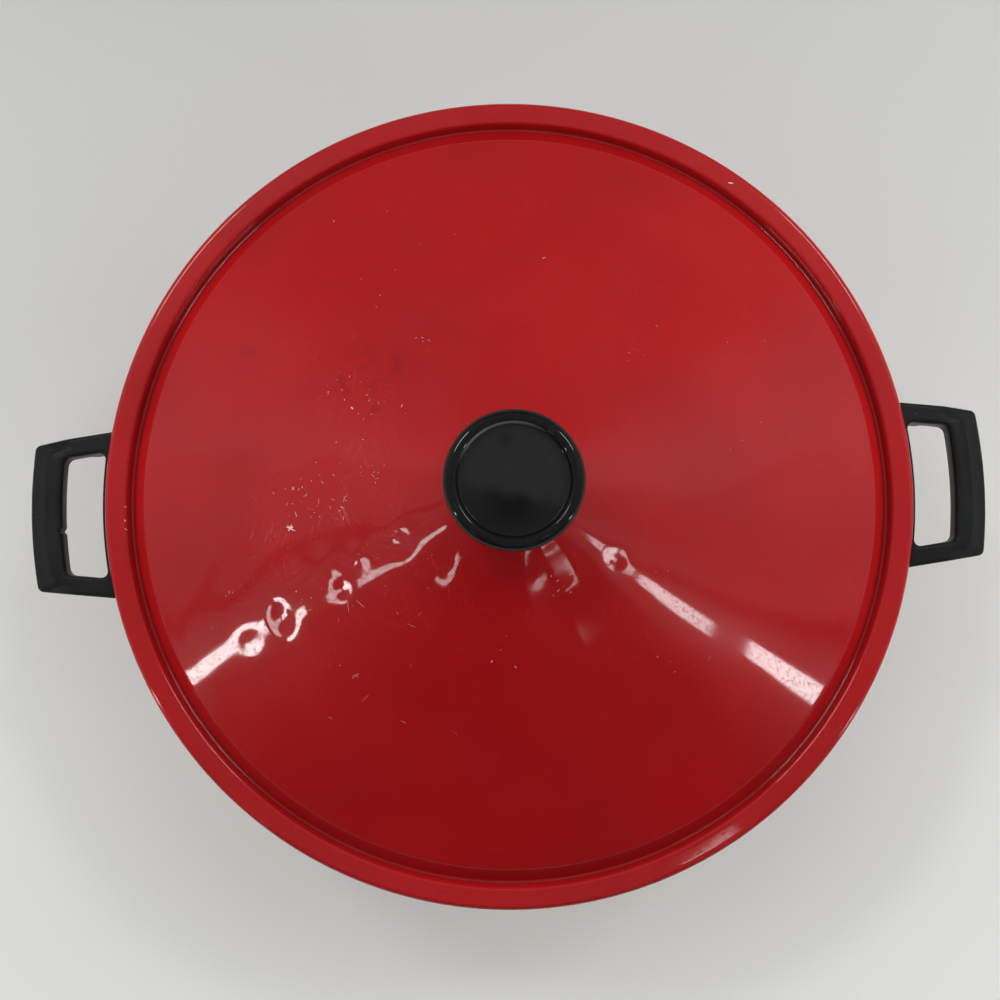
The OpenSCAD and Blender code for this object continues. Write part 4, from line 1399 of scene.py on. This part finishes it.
@dataclass
class Handle:
    """Moulded loop handle whose back follows the bowl's wall.

    Attributes:
        bowl: Bowl that it is fixed to.
        side: Side of the wok that it is on.
        lid_r: Radius of the lid's edge.
        back_w: Width beside the lid.
        tip_w: Width at its outer corners.
        arm_w: Width of its arms.
        grip_w: Width of its grip bar.
        back_bar: Width of the back bar past the lid's edge.
        back_h: Height of the back bar.
        back_taper: Distance over which the back bar's height falls to that of the arms.
        arm_h: Height of the arms.
        grip_h: Depth of the grip's outer edge below the top.
        grip_drop: Drop of the grip's outer edge.
        grip_flat: Share of the grip's width that stays level.
        gap: Gap to the bowl's wall.
        corner_r: Radius of the outer corners.
        window_r: Radius of the window's corners.
        edge_r: Radius of the edges.
        nicks: Places of small nicks along the grip's inner edge.
        nick_w: Width of a nick.
        nick_d: Depth of a nick.
        corner_steps: Steps round a corner of the loop.
        side_steps: Steps along each side of the loop.
        section_corner_steps: Steps round a corner of a section.
        section_steps: Steps along each side of a section.
        tip_r: Radius of the grip's outer edge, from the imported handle.
        top_z: Height of its top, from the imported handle.
    """

    bowl: Bowl
    side: Side
    lid_r: float
    back_w: float = 74.0
    tip_w: float = 65.0
    arm_w: float = 8.8
    grip_w: float = 15.0
    back_bar: float = 2.0
    back_h: float = 14.0
    back_taper: float = 6.0
    arm_h: float = 10.0
    grip_h: float = 14.0
    grip_drop: float = 6.0
    grip_flat: float = 0.45
    gap: float = 0.3
    corner_r: float = 2.5
    window_r: float = 3.2
    edge_r: float = 1.6
    nicks: tuple[float, ...] = ()
    nick_w: float = 1.4
    nick_d: float = 1.2
    corner_steps: int = 6
    side_steps: tuple[int, int, int, int] = (36, 24, 90, 24)
    section_corner_steps: int = 5
    section_steps: tuple[int, int, int, int] = (4, 2, 10, 2)
    tip_r: float = field(init=False)
    top_z: float = field(init=False)

    def __post_init__(self) -> None:
        """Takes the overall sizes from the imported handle."""
        high = node_box("right_handle")[1]
        self.tip_r, self.top_z = high[0], high[2]

    @property
    def back_r(self) -> float:
        """Radius of the handle's back at mid height."""
        return self.bowl.wall_r(self.top_z - self.back_h / 2) + self.gap

    @property
    def window_in_r(self) -> float:
        """Radius of the window's edge beside the lid."""
        return self.lid_r + self.back_bar

    @property
    def window_out_r(self) -> float:
        """Radius of the window's edge beside the grip."""
        return self.tip_r - self.grip_w

    def half_width(self, radius: float) -> float:
        """Half of the handle's width at a radius."""
        share = (radius - self.lid_r) / (self.tip_r - self.lid_r)
        return (self.back_w + (self.tip_w - self.back_w) * share) / 2

    def frame_loop(self, inner: float, outer: float, inset: float, radius: float) -> np.ndarray:
        """Loop of the outer edge, or of the window with an inset of an arm's width."""
        near, far = self.half_width(inner) - inset, self.half_width(outer) - inset
        places = ((inner, near), (inner, -near), (outer, -far), (outer, far))
        return rounded_loop([Corner(x, y, radius) for x, y in places], self.side_steps, self.corner_steps)

    def section(self, edge: np.ndarray, window: np.ndarray) -> np.ndarray:
        """Section between a point of the outer edge and one of the window.

        Args:
            edge: Point of the outer edge, as radius and width.
            window: Point of the window, in the same way.

        Returns:
            The section's corners, with the same number for every section.
        """
        length = float(np.linalg.norm(window - edge))
        grip = (self.window_out_r, self.tip_r - self.corner_r)
        stops = (self.window_in_r, self.window_in_r + self.back_taper, *grip)
        depth = np.interp(edge[0], stops, (self.back_h, self.arm_h, self.arm_h, self.grip_h))
        inner_depth = self.arm_h if edge[0] > self.window_out_r else depth
        drop = float(np.interp(edge[0], grip, (0.0, self.grip_drop)))
        corners = [
            Corner(0.0, self.top_z - depth, self.edge_r),
            Corner(length, self.top_z - inner_depth, self.edge_r),
            Corner(length, self.top_z, self.edge_r),
            Corner(0.0, self.top_z - drop, self.edge_r),
        ]
        outline = rounded_loop(corners, self.section_steps, self.section_corner_steps)
        level = np.interp(outline[:, 0] / length, (0.0, 1 - self.grip_flat, 1.0), (drop, 0.0, 0.0))
        straight = drop * (1 - outline[:, 0] / length)
        bend = np.clip((outline[:, 1] - (self.top_z - depth)) / depth, 0, 1) * (straight - level)
        outline[:, 1] += bend * (drop > 0)
        wall = np.array([self.bowl.wall_r(z) + self.gap for z in outline[:, 1]])
        share = np.interp(edge[0], (self.back_r, self.lid_r), (1.0, 0.0))
        outer_r = edge[0] + (wall - edge[0]) * share
        across = (outline[:, 0] / length)[:, None]
        at = np.stack([outer_r, np.full(len(outline), edge[1])], 1) * (1 - across) + window * across
        return np.stack([np.sqrt(at[:, 0] ** 2 - at[:, 1] ** 2), at[:, 1], outline[:, 1]], 1)

    def shape(self) -> Shape:
        """Form of the handle, on the right side."""
        edge = self.frame_loop(self.back_r, self.tip_r, 0.0, self.corner_r)
        window = self.frame_loop(self.window_in_r, self.window_out_r, self.arm_w, self.window_r)
        sections = np.stack([self.section(a, b) for a, b in zip(edge, window)])
        count, size = sections.shape[:2]
        numbers = np.arange(count * size).reshape(count, size)
        ahead, beyond = np.roll(numbers, -1, 0), np.roll(numbers, -1, 1)
        faces = np.stack([numbers, beyond, np.roll(ahead, -1, 1), ahead], -1).reshape(-1, 4)
        return Shape(self.nicked(sections.reshape(-1, 3)), [tuple(face) for face in faces.tolist()])

    def nicked(self, points: np.ndarray) -> np.ndarray:
        """Points with the nicks knocked into the grip's inner side."""
        side = hump(points[:, 0], self.window_out_r, self.edge_r)
        for along in self.nicks:
            depth = self.nick_d * side * np.clip(1 - np.abs(points[:, 1] - along) / self.nick_w, 0, 1)
            points = points + depth[:, None] * (1.0, 0.0, 0.0)
        return points

    def edges(self, points: np.ndarray) -> np.ndarray:
        """Upper edges of the grip, which hands rub."""
        radius, below = axis_r(points), points[:, 2] - self.top_z
        outer = hump(radius, self.tip_r, reach=2.0) * np.clip((below + self.grip_drop) / 3.0 + 1, 0, 1)
        inner = hump(radius, self.window_out_r, reach=1.2) * np.clip(below / 1.5 + 1, 0, 1)
        return 0.7 * outer + 0.4 * inner

    def build(self) -> None:
        """Builds and dresses the handle."""
        name = self.side.name.lower() + "_handle"
        piece = make_piece(name + "_dressed", self.shape().turned(self.side.value), sharp=50.0)
        paint(piece, "edge", self.edges)
        SATIN_BLACK.dress(piece)
        place(piece, Body.WOK, Slot.SATIN, name)


# Small hardware


def grow(
    name: str, seats: Seats, tree: Tree, finish: Finish, pointing: Pointing = Pointing.UP,
    vectors: dict[str, np.ndarray] | None = None, **sizes: float
) -> Piece:
    """Grows a piece from its seats by a geometry tree.

    Args:
        name: Name of the piece.
        seats: Points in millimetres, one for each copy, or along a path.
        tree: Tree that grows it.
        finish: Its finish.
        pointing: Way that each copy points.
        vectors: Vectors that the tree reads at each seat, by name.
        sizes: The tree's lengths by name, in millimetres.

    Returns:
        The piece as a plain mesh.
    """
    piece = make_piece(name, Shape(np.array(seats, float), []))
    mesh, starts = piece.data, np.arange(len(seats) - 1)
    mesh.edges.add(len(starts))
    mesh.edges.foreach_set("vertices", np.stack([starts, starts + 1], 1).ravel())
    for key, values in (vectors or {}).items():
        stored = mesh.attributes.new(key, "FLOAT_VECTOR", "POINT")
        stored.data.foreach_set("vector", values.astype(np.float32).ravel())
    modifier = piece.modifiers.new(tree.name, "NODES")
    modifier.node_group = tree
    inputs = {key.replace("_", " ").title(): float(size) * MM for key, size in sizes.items()}
    inputs |= {"Finish": finish.material(), "Pointing": pointing.value}
    for item in tree.interface.items_tree:
        if item.item_type == "SOCKET" and item.in_out == "INPUT" and item.name in inputs:
            modifier[item.identifier] = inputs[item.name]
    graph = bpy.context.evaluated_depsgraph_get()
    grown = bpy.data.meshes.new_from_object(piece.evaluated_get(graph), depsgraph=graph)
    piece.modifiers.clear()
    piece.data = grown
    grown.name = name
    smooth(grown, sharp=40.0)
    return piece


def geometry_group(name: str, build: Callable[[GroupWiring], Socket]) -> Tree:
    """Makes a geometry tree that ends in real geometry with a material.

    Args:
        name: Name of the tree.
        build: Wires the tree and gives its last geometry.

    Returns:
        The tree.
    """
    tree = bpy.data.node_groups.new(name, "GeometryNodeTree")
    wiring = GroupWiring(tree)
    wiring.take("Seats", "Geometry")
    finish = wiring.take("Finish", "Material")
    real = wiring.first("GeometryNodeRealizeInstances", {0: build(wiring)})
    dressed = wiring.first("GeometryNodeSetMaterial", {"Geometry": real, "Material": finish})
    wiring.give("Piece", dressed, "Geometry")
    return tree


def cylinder(wiring: GroupWiring, radius: Plug, depth: Plug, lift: Plug, sides: int = 32) -> Socket:
    """Cylinder along Z whose lower end is lifted to a height."""
    inputs = {"Vertices": sides, "Side Segments": 6, "Fill Segments": 5, "Radius": radius, "Depth": depth}
    mesh = wiring.first("GeometryNodeMeshCylinder", inputs, fill_type="TRIANGLE_FAN")
    return lifted(wiring, mesh, wiring.math("ADD", wiring.times(depth, 0.5), lift))


def lifted(wiring: GroupWiring, mesh: Plug, height: Plug) -> Socket:
    """Mesh moved up by a height."""
    inputs = {"Geometry": mesh, "Translation": wiring.vector(z=height)}
    return wiring.first("GeometryNodeTransform", inputs)


def cut(wiring: GroupWiring, mesh: Plug, tool: Plug) -> Socket:
    """Mesh with a tool's form taken out of it."""
    inputs = {"Mesh 1": mesh, "Mesh 2": tool}
    return wiring.first("GeometryNodeMeshBoolean", inputs, solver="EXACT")


def joined(wiring: GroupWiring, first: Plug, second: Plug) -> Socket:
    """Two meshes in one."""
    join = wiring.add("GeometryNodeJoinGeometry", {0: first})
    wiring.feed(join, {0: second})
    return join.outputs[0]


def domed(wiring: GroupWiring, mesh: Plug, radius: Plug, height: Plug, draw: float) -> Socket:
    """Draws in the upper end of a cylinder that stands at zero, and crowns it."""
    x, y, z = wiring.parts(wiring.first("GeometryNodeInputPosition"))
    rise = wiring.math("DIVIDE", z, height)
    inward = wiring.math("SUBTRACT", 1.0, wiring.times(wiring.math("POWER", rise, 4.0), draw))
    out = wiring.math("DIVIDE", wiring.length(wiring.vector(x, y)), radius)
    sag = wiring.times(wiring.times(wiring.math("POWER", out, 2.0), rise), draw)
    lower = wiring.math("SUBTRACT", z, wiring.times(sag, height))
    target = wiring.vector(wiring.times(x, inward), wiring.times(y, inward), lower)
    return wiring.first("GeometryNodeSetPosition", {"Geometry": mesh, "Position": target})


def copies(wiring: GroupWiring, item: Plug, aim: Plug, spin: Plug, size: Plug = None) -> Socket:
    """Puts an item on each seat, aimed by one rotation and spun by another before it."""
    turned = wiring.first("FunctionNodeRotateRotation", {0: aim, 1: spin}, rotation_space="LOCAL")
    inputs = {"Points": wiring.entry.outputs["Seats"], "Instance": item, "Rotation": turned, "Scale": size}
    return wiring.first("GeometryNodeInstanceOnPoints", inputs)


def on_seats(wiring: GroupWiring, item: Plug, seed: int) -> Socket:
    """Puts an item on each seat, pointed as asked and turned at random about its own axis."""
    pointing = wiring.take("Pointing", "Vector")
    inputs = {3: 2 * math.pi, "Seed": seed}
    turn = wiring.add("FunctionNodeRandomValue", inputs, data_type="FLOAT").outputs[1]
    spin = wiring.first("FunctionNodeAxisAngleToRotation", {"Axis": (0.0, 0.0, 1.0), "Angle": turn})
    aim = wiring.first("FunctionNodeEulerToRotation", {0: pointing})
    return copies(wiring, item, aim, spin)


def screw_tree(wiring: GroupWiring) -> Socket:
    """Pan-head screws with a cross recess, with their heads' undersides on the seats."""
    thread, length, head, height = (wiring.take(name) for name in ("Thread", "Length", "Head", "Height"))
    radius = wiring.times(head, 0.5)
    crown = domed(wiring, cylinder(wiring, radius, height, 0.0), radius, height, draw=0.22)
    slot_w, slot_l = wiring.times(head, 0.16), wiring.times(head, 0.56)
    for x, y in ((slot_w, slot_l), (slot_l, slot_w)):
        bar = wiring.first("GeometryNodeMeshCube", {"Size": wiring.vector(x, y, height)})
        crown = cut(wiring, crown, lifted(wiring, bar, height))
    shank = cylinder(wiring, wiring.times(thread, 0.5), length, wiring.times(length, -1.0), sides=24)
    return on_seats(wiring, joined(wiring, crown, shank), seed=3)


def washer_tree(wiring: GroupWiring) -> Socket:
    """Flat washers that lie above their seats."""
    inner, outer, height = (wiring.take(name) for name in ("Inner", "Outer", "Height"))
    plate = domed(wiring, cylinder(wiring, outer, height, 0.0, sides=48), outer, height, draw=0.03)
    hole = cylinder(wiring, inner, wiring.times(height, 3.0), wiring.times(height, -1.0))
    return on_seats(wiring, cut(wiring, plate, hole), seed=5)


def foot_tree(wiring: GroupWiring) -> Socket:
    """Rubber feet with a hollow under them and a stem above."""
    names = ("Radius", "Height", "Stem", "Stem Height")
    radius, height, stem, stem_h = (wiring.take(name) for name in names)
    pad = domed(wiring, cylinder(wiring, radius, height, 0.0, sides=48), radius, height, draw=0.12)
    hollow = cylinder(wiring, wiring.times(radius, 0.45), height, wiring.times(height, 0.72))
    peg = cylinder(wiring, stem, stem_h, wiring.times(stem_h, -1.0))
    return on_seats(wiring, joined(wiring, cut(wiring, pad, hollow), peg), seed=7)


def flake_tree(wiring: GroupWiring) -> Socket:
    """Thin flakes with the facing, size and turn stored on their seats."""
    facing, size, turn = (
        wiring.first("GeometryNodeInputNamedAttribute", {"Name": name}, data_type="FLOAT_VECTOR")
        for name in ("facing", "size", "turn"))
    flake = wiring.first("GeometryNodeMeshIcoSphere", {"Radius": 1.0, "Subdivisions": 2})
    aim = wiring.first("FunctionNodeAlignRotationToVector", {"Vector": facing}, axis="Z")
    spin = wiring.first("FunctionNodeEulerToRotation", {0: turn})
    return copies(wiring, flake, aim, spin, size)


def tube_tree(wiring: GroupWiring) -> Socket:
    """Round tube along the line of its seats."""
    radius = wiring.take("Radius")
    path = wiring.first("GeometryNodeMeshToCurve", {0: wiring.entry.outputs["Seats"]})
    inputs = {"Resolution": 24, "Radius": radius}
    section = wiring.first("GeometryNodeCurvePrimitiveCircle", inputs)
    inputs = {"Curve": path, "Profile Curve": section, "Fill Caps": True}
    return wiring.first("GeometryNodeCurveToMesh", inputs)


@dataclass
class Fasteners:
    """Screws and washers of the wok.

    Attributes:
        screws: Tree of the screws.
        washers: Tree of the washers.
        head_w: Width of a head for each millimetre of thread.
        head_h: Height of a head, in the same way.
        washer_r: Radius of a washer, in the same way.
        knob_washer_r: Radius of the knob's wider washer.
        play: Gap between a thread and its washer.
        guard_thread: Diameter of the guard screws' thread.
    """

    screws: Tree = field(default_factory=lambda: geometry_group("pan-head screws", screw_tree))
    washers: Tree = field(default_factory=lambda: geometry_group("flat washers", washer_tree))
    head_w: float = 1.9
    head_h: float = 0.6
    washer_r: float = 1.1
    knob_washer_r: float = 6.0
    play: float = 0.3
    guard_thread: float = 3.0

    def screw(self, node: str, body: Body, seats: Seats, pointing: Pointing, thread: float) -> None:
        """Builds one group of screws.

        Args:
            node: Solid that they stand for.
            body: Body that they ride on.
            seats: Middle of each head's underside.
            pointing: Way that the heads point.
            thread: Diameter of the thread.
        """
        low, high = node_box(node)
        axis = 1 if pointing is Pointing.BACK else 2
        height = self.head_h * thread
        piece = grow(node + "_dressed", seats, self.screws, STEEL, pointing, thread=thread,
                     head=self.head_w * thread, height=height, length=(high - low)[axis] - height)
        place(piece, body, Slot.STEEL, node)

    def washer(self, node: str, body: Body, seats: Seats, inner: float, outer: float) -> None:
        """Builds one group of washers that lie flat above their seats."""
        low, high = node_box(node)
        piece = grow(node + "_dressed", seats, self.washers, STEEL,
                     inner=inner, outer=outer, height=high[2] - low[2])
        place(piece, body, Slot.STEEL, node)

    def build(self) -> None:
        """Builds and dresses all screws and washers."""
        groups = (("knob", Body.LID, 4.0), ("handle", Body.WOK, 4.0), ("base", Body.WOK, 5.0))
        for name, body, thread in groups:
            plural = "" if name == "knob" else "s"
            low, high = node_box(f"{name}_washer{plural}")
            outer = self.knob_washer_r if name == "knob" else self.washer_r * thread
            x, y = high[0] - outer, high[1] - outer
            places = [(0.0, 0.0)] if name == "knob" else [(x, y), (-x, y), (-x, -y), (x, -y)]
            seats = [(*point, low[2]) for point in places]
            self.washer(f"{name}_washer{plural}", body, seats, thread / 2 + self.play, outer)
            self.screw(f"{name}_screw{plural}", body, seats, Pointing.DOWN, thread)
        low, high = node_box("guard_screws")
        thread = self.guard_thread
        x, y = high[0] - self.head_w / 2 * thread, high[1] - self.head_h * thread
        z = (low[2] + high[2]) / 2
        self.screw("guard_screws", Body.WOK, [(x, y, z), (-x, y, z)], Pointing.BACK, thread)


@dataclass
class Feet:
    """Four rubber feet.

    Attributes:
        height: Height below the base.
        stem: Radius of the stems in the base.
        corners: Names of the corners that they stand at.
    """

    height: float = 6.0
    stem: float = 4.0
    corners: tuple[str, ...] = ("rear_right", "rear_left", "front_left", "front_right")

    def build(self) -> None:
        """Builds and dresses the feet."""
        nodes = ["foot_" + corner for corner in self.corners]
        boxes = [node_box(node) for node in nodes]
        seats = [(*((low + high) / 2)[:2], self.height) for low, high in boxes]
        low, high = boxes[0]
        tree = geometry_group("rubber feet", foot_tree)
        piece = grow("feet_dressed", seats, tree, RUBBER, Pointing.DOWN, radius=(high[0] - low[0]) / 2,
                     height=self.height, stem=self.stem, stem_height=high[2] - low[2] - self.height)
        place(piece, Body.WOK, Slot.RUBBER, *nodes)


@dataclass
class HeatingTube:
    """Bent heating tube under the bowl.

    Attributes:
        radius: Radius of the tube.
        ring_r: Radius of its ring.
        bend_r: Radius of the bends to its legs.
        leg_x: Distance of the legs from the middle.
        bend_steps: Steps along each bend.
        ring_points: Points along each half of the ring.
    """

    radius: float = 4.0
    ring_r: float = 46.0
    bend_r: float = 12.0
    leg_x: float = 14.0
    bend_steps: int = 12
    ring_points: int = 40

    def path(self) -> list[tuple[float, float, float]]:
        """Points along the tube, from the end of one leg to the other."""
        low, high = node_box("heating_element")
        z = (low[2] + high[2]) / 2
        bend_x = self.leg_x + self.bend_r
        bend_y = -math.sqrt((self.ring_r + self.bend_r) ** 2 - bend_x**2)
        start = math.atan2(bend_y, bend_x)
        bend = [math.pi + start * step / self.bend_steps for step in range(self.bend_steps + 1)]
        ring = np.linspace(start, math.pi / 2, self.ring_points)[1:]
        right = [(self.leg_x, low[1])]
        right += [(bend_x + self.bend_r * math.cos(a), bend_y + self.bend_r * math.sin(a)) for a in bend]
        right += [(self.ring_r * math.cos(a), self.ring_r * math.sin(a)) for a in ring]
        line = right + [(-x, y) for x, y in reversed(right[:-1])]
        return [(x, y, z) for x, y in line]

    def build(self) -> None:
        """Builds and dresses the heating tube."""
        tree = geometry_group("bent tube", tube_tree)
        piece = grow("heating_element_dressed", self.path(), tree, SHEATH, radius=self.radius)
        place(piece, Body.WOK, Slot.STEEL, "heating_element")


@dataclass
class SheetParts:
    """Base moulding and small parts that keep the form of their solids, with eased edges.

    Attributes:
        finishes: Finish and slot of each solid, with the width of its eased edges.
        ease_steps: Steps across an eased edge.
        ease_angle: Turn above which an edge is eased, in degrees.
    """

    finishes: dict[str, tuple[Finish, Slot, float]] = field(default_factory=lambda: {
        "base": (BASE_BLACK, Slot.SATIN, 0.0),
        "right_bracket": (STEEL, Slot.STEEL, 0.3),
        "left_bracket": (STEEL, Slot.STEEL, 0.3),
        "terminal_guard": (STEEL, Slot.STEEL, 0.2),
        "heat_reflector": (ALUMINIUM, Slot.ALUMINIUM, 0.0),
        "terminal_pins": (STEEL, Slot.STEEL, 0.15),
        "terminal_insulators": (CERAMIC, Slot.CERAMIC, 0.2),
        "probe_socket": (ALUMINIUM, Slot.ALUMINIUM, 0.15),
    })
    ease_steps: int = 2
    ease_angle: float = 40.0

    def build(self) -> None:
        """Builds and dresses the parts."""
        for node, (finish, slot, ease) in self.finishes.items():
            piece = make_piece(node + "_dressed", node_shape(node), sharp=30.0)
            if ease:
                bevel = piece.modifiers.new("eased edges", "BEVEL")
                bevel.width, bevel.segments = ease * MM, self.ease_steps
                bevel.limit_method, bevel.angle_limit = "ANGLE", math.radians(self.ease_angle)
            finish.dress(piece)
            place(piece, Body.WOK, slot, node)


def dress_hidden_solids() -> None:
    """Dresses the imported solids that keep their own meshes."""
    for node, finish in (("knob_insert", BRASS), ("base_bosses", ALUMINIUM), ("heat_spacers", FIBRE)):
        finish.dress(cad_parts[node])
        log.info("%s: dressed", node)


# Studio


@dataclass(frozen=True)
class SoftBox:
    """Lamp panel that faces the lid.

    Attributes:
        name: Name of the lamp.
        azimuth: Angle round the wok, in degrees from the right handle.
        elevation: Height above the horizon, in degrees.
        width: Width in metres.
        height: Height in metres.
        radiance: Brightness of its face.
        mirrored: Whether glossy surfaces mirror it.
        distance: Distance from the lid, in metres.
    """

    name: str
    azimuth: float
    elevation: float
    width: float
    height: float
    radiance: float
    mirrored: bool = True
    distance: float = 2.2

    def build(self, aim: Vector) -> None:
        """Hangs the lamp and points it at a place."""
        lamp = bpy.data.lights.new(self.name, "AREA")
        lamp.shape = "RECTANGLE"
        lamp.size, lamp.size_y = self.width, self.height
        lamp.energy = self.radiance * math.pi * self.width * self.height
        rig = bpy.data.objects.new(self.name, lamp)
        azimuth, elevation = math.radians(self.azimuth), math.radians(self.elevation)
        level = math.cos(elevation)
        away = Vector((level * math.cos(azimuth), level * math.sin(azimuth), math.sin(elevation)))
        rig.location = aim + away * self.distance
        rig.rotation_euler = away.to_track_quat("Z", "Y").to_euler()
        rig.visible_camera = False
        rig.visible_glossy = self.mirrored
        bpy.context.scene.collection.objects.link(rig)


@dataclass
class Studio:
    """Floor, lamps and camera.

    Attributes:
        aim: Place that the lamps face.
        lamps: Lamp panels.
        sky: Brightness of the surround against height, from the floor up.
        walls: Brightness of its walls against the angle round the wok, in degrees.
        lean: Turn of the walls' stripes with height, as a share of a full turn.
        wall_foot: Heights where the walls begin and where they show in full.
        wall_top: Heights where the walls end and where they still show in full.
        eye: Place of the camera.
        target: Place in the middle of its picture.
        roll: Turn of the camera about its own axis, in degrees.
        lens: Focal length, in millimetres.
        sensor: Width of the sensor, in millimetres.
        floor_r: Radius of the floor, in metres.
        floor_h: Thickness of the floor, in metres.
        floor_sides: Segments round the floor.
    """

    aim: Vector = field(default_factory=lambda: Vector((0.0, 0.0, 0.16)))
    lamps: tuple[SoftBox, ...] = (
        SoftBox("left strip, low", 203.8, 27.0, 0.085, 0.35, 24.0),
        SoftBox("left strip, high", 204.1, 37.5, 0.08, 0.22, 10.0),
        SoftBox("right strip, low", 329.2, 26.0, 0.12, 0.19, 20.0),
        SoftBox("right strip, high", 328.3, 32.6, 0.11, 0.165, 14.0),
        SoftBox("right strip, top", 329.2, 36.5, 0.12, 0.08, 9.0),
        SoftBox("front patch, left", 286.0, 40.0, 0.3, 0.02, 7.0),
        SoftBox("front patch, right", 302.3, 38.7, 0.36, 0.022, 7.0),
        SoftBox("left patch", 227.0, 39.8, 0.2, 0.06, 8.0),
        SoftBox("top lamp", 307.0, 72.9, 0.12, 0.06, 6.0),
        SoftBox("back left box", 134.0, 56.0, 0.42, 0.28, 16.0),
        SoftBox("back right box", 40.0, 56.0, 0.36, 0.26, 16.0),
        SoftBox("overhead fill", 90.0, 46.0, 2.4, 2.4, 1.05, mirrored=False),
        SoftBox("right fill", 12.0, 25.0, 0.45, 0.45, 4.6, mirrored=False, distance=0.85),
        SoftBox("left fill", 170.0, 25.0, 0.45, 0.45, 3.6, mirrored=False, distance=0.85),
    )
    sky: tuple[tuple[float, float], ...] = ((0.0, 0.35), (0.2, 0.35), (0.74, 0.2), (1.0, 0.2))
    walls: tuple[tuple[float, float], ...] = (
        (0, 0.21), (5, 0.16), (6, 0.36), (23, 0.3), (70, 0.08), (110, 0.08), (143, 0.3), (164, 0.36),
        (165, 0.18), (183, 0.24), (189, 0.3), (190, 0.0), (193, 0.0), (194.5, 0.28), (207, 0.16),
        (209, 0.02), (324, 0.02), (325, 0.2), (334, 0.3), (335, 0.0), (338, 0.0), (339.5, 0.38), (360, 0.21))
    lean: float = 0.138
    wall_foot: tuple[float, float] = (0.2, 0.3)
    wall_top: tuple[float, float] = (0.78, 0.68)
    eye: Vector = field(default_factory=lambda: Vector((-0.0123, -0.0492, 0.805)))
    target: Vector = field(default_factory=lambda: Vector((-0.0045, -0.0003, 0.1443)))
    roll: float = -2.25
    lens: float = 54.2
    sensor: float = 36.0
    floor_r: float = 4.0
    floor_h: float = 0.02
    floor_sides: int = 96

    def floor(self) -> None:
        """Lays the floor."""
        radius, under = self.floor_r / MM, -self.floor_h / MM
        rim = np.array([(0.0, under), (radius, under), (radius, 0.0), (0.0, 0.0)])
        floor = make_piece("floor", lathe(rim, self.floor_sides, closed=False))
        PAPER.dress(floor)

    def level(self, wiring: Wiring, value: Plug, stops: Sequence[tuple[float, float]]) -> Socket:
        """Grey level against a value from 0 to 1, by stops of value and level."""
        ramp = wiring.add("ShaderNodeValToRGB", {0: value})
        elements = ramp.color_ramp.elements
        while len(elements) < len(stops):
            elements.new(0.5)
        for element, (position, level) in zip(elements, stops):
            element.position = position
            element.color = (level, level, level, 1.0)
        return ramp.outputs[0]

    def surround(self) -> None:
        """Sets the surround: a pale room with walls that differ."""
        world = bpy.data.worlds.new("surround")
        world.use_nodes = True
        world.node_tree.nodes.clear()
        wiring = Wiring(world.node_tree)
        x, y, z = wiring.parts(wiring.add("ShaderNodeTexCoord").outputs["Generated"])
        turn = wiring.math("DIVIDE", wiring.math("ARCTAN2", y, x), 2 * math.pi)
        lean = wiring.times(wiring.math("SUBTRACT", z, 0.5), self.lean)
        turn = wiring.math("FRACT", wiring.math("ADD", turn, lean))
        walls = self.level(wiring, turn, [(angle / 360, level) for angle, level in self.walls])
        within = wiring.times(wiring.ramp(z, *self.wall_foot), wiring.ramp(z, *self.wall_top))
        room = wiring.mix(within, self.level(wiring, z, self.sky), walls)
        back = wiring.add("ShaderNodeBackground", {"Color": room})
        wiring.add("ShaderNodeOutputWorld", {"Surface": back.outputs[0]})
        bpy.context.scene.world = world

    def camera(self) -> None:
        """Places the camera above the wok."""
        lens = bpy.data.cameras.new("camera")
        lens.sensor_width, lens.lens = self.sensor, self.lens
        rig = bpy.data.objects.new("camera", lens)
        ahead = (self.target - self.eye).normalized()
        right = ahead.cross(Vector((0.0, 1.0, 0.0))).normalized()
        up = right.cross(ahead)
        roll = Matrix.Rotation(math.radians(self.roll), 3, "Z")
        basis = Matrix((right, up, -ahead)).transposed() @ roll
        rig.matrix_world = Matrix.Translation(self.eye) @ basis.to_4x4()
        bpy.context.scene.collection.objects.link(rig)
        bpy.context.scene.camera = rig

    def build(self) -> None:
        """Builds the studio."""
        bpy.context.scene.view_settings.view_transform = "Standard"
        self.camera()
        self.surround()
        self.floor()
        for lamp in self.lamps:
            lamp.build(self.aim)
        log.info("studio: %d lamps", len(self.lamps))


def main() -> None:
    """Builds the dressed wok in its studio."""
    logging.basicConfig(level=logging.INFO, format="%(message)s")
    Studio().build()
    lid, bowl = Lid(), Bowl()
    lid.build()
    Knob().build()
    bowl.build()
    Handle(bowl, Side.RIGHT, lid.edge_r).build()
    Handle(bowl, Side.LEFT, lid.edge_r, nicks=(6.2,)).build()
    Fasteners().build()
    Feet().build()
    HeatingTube().build()
    SheetParts().build()
    dress_hidden_solids()


if __name__ == "__main__":
    main()
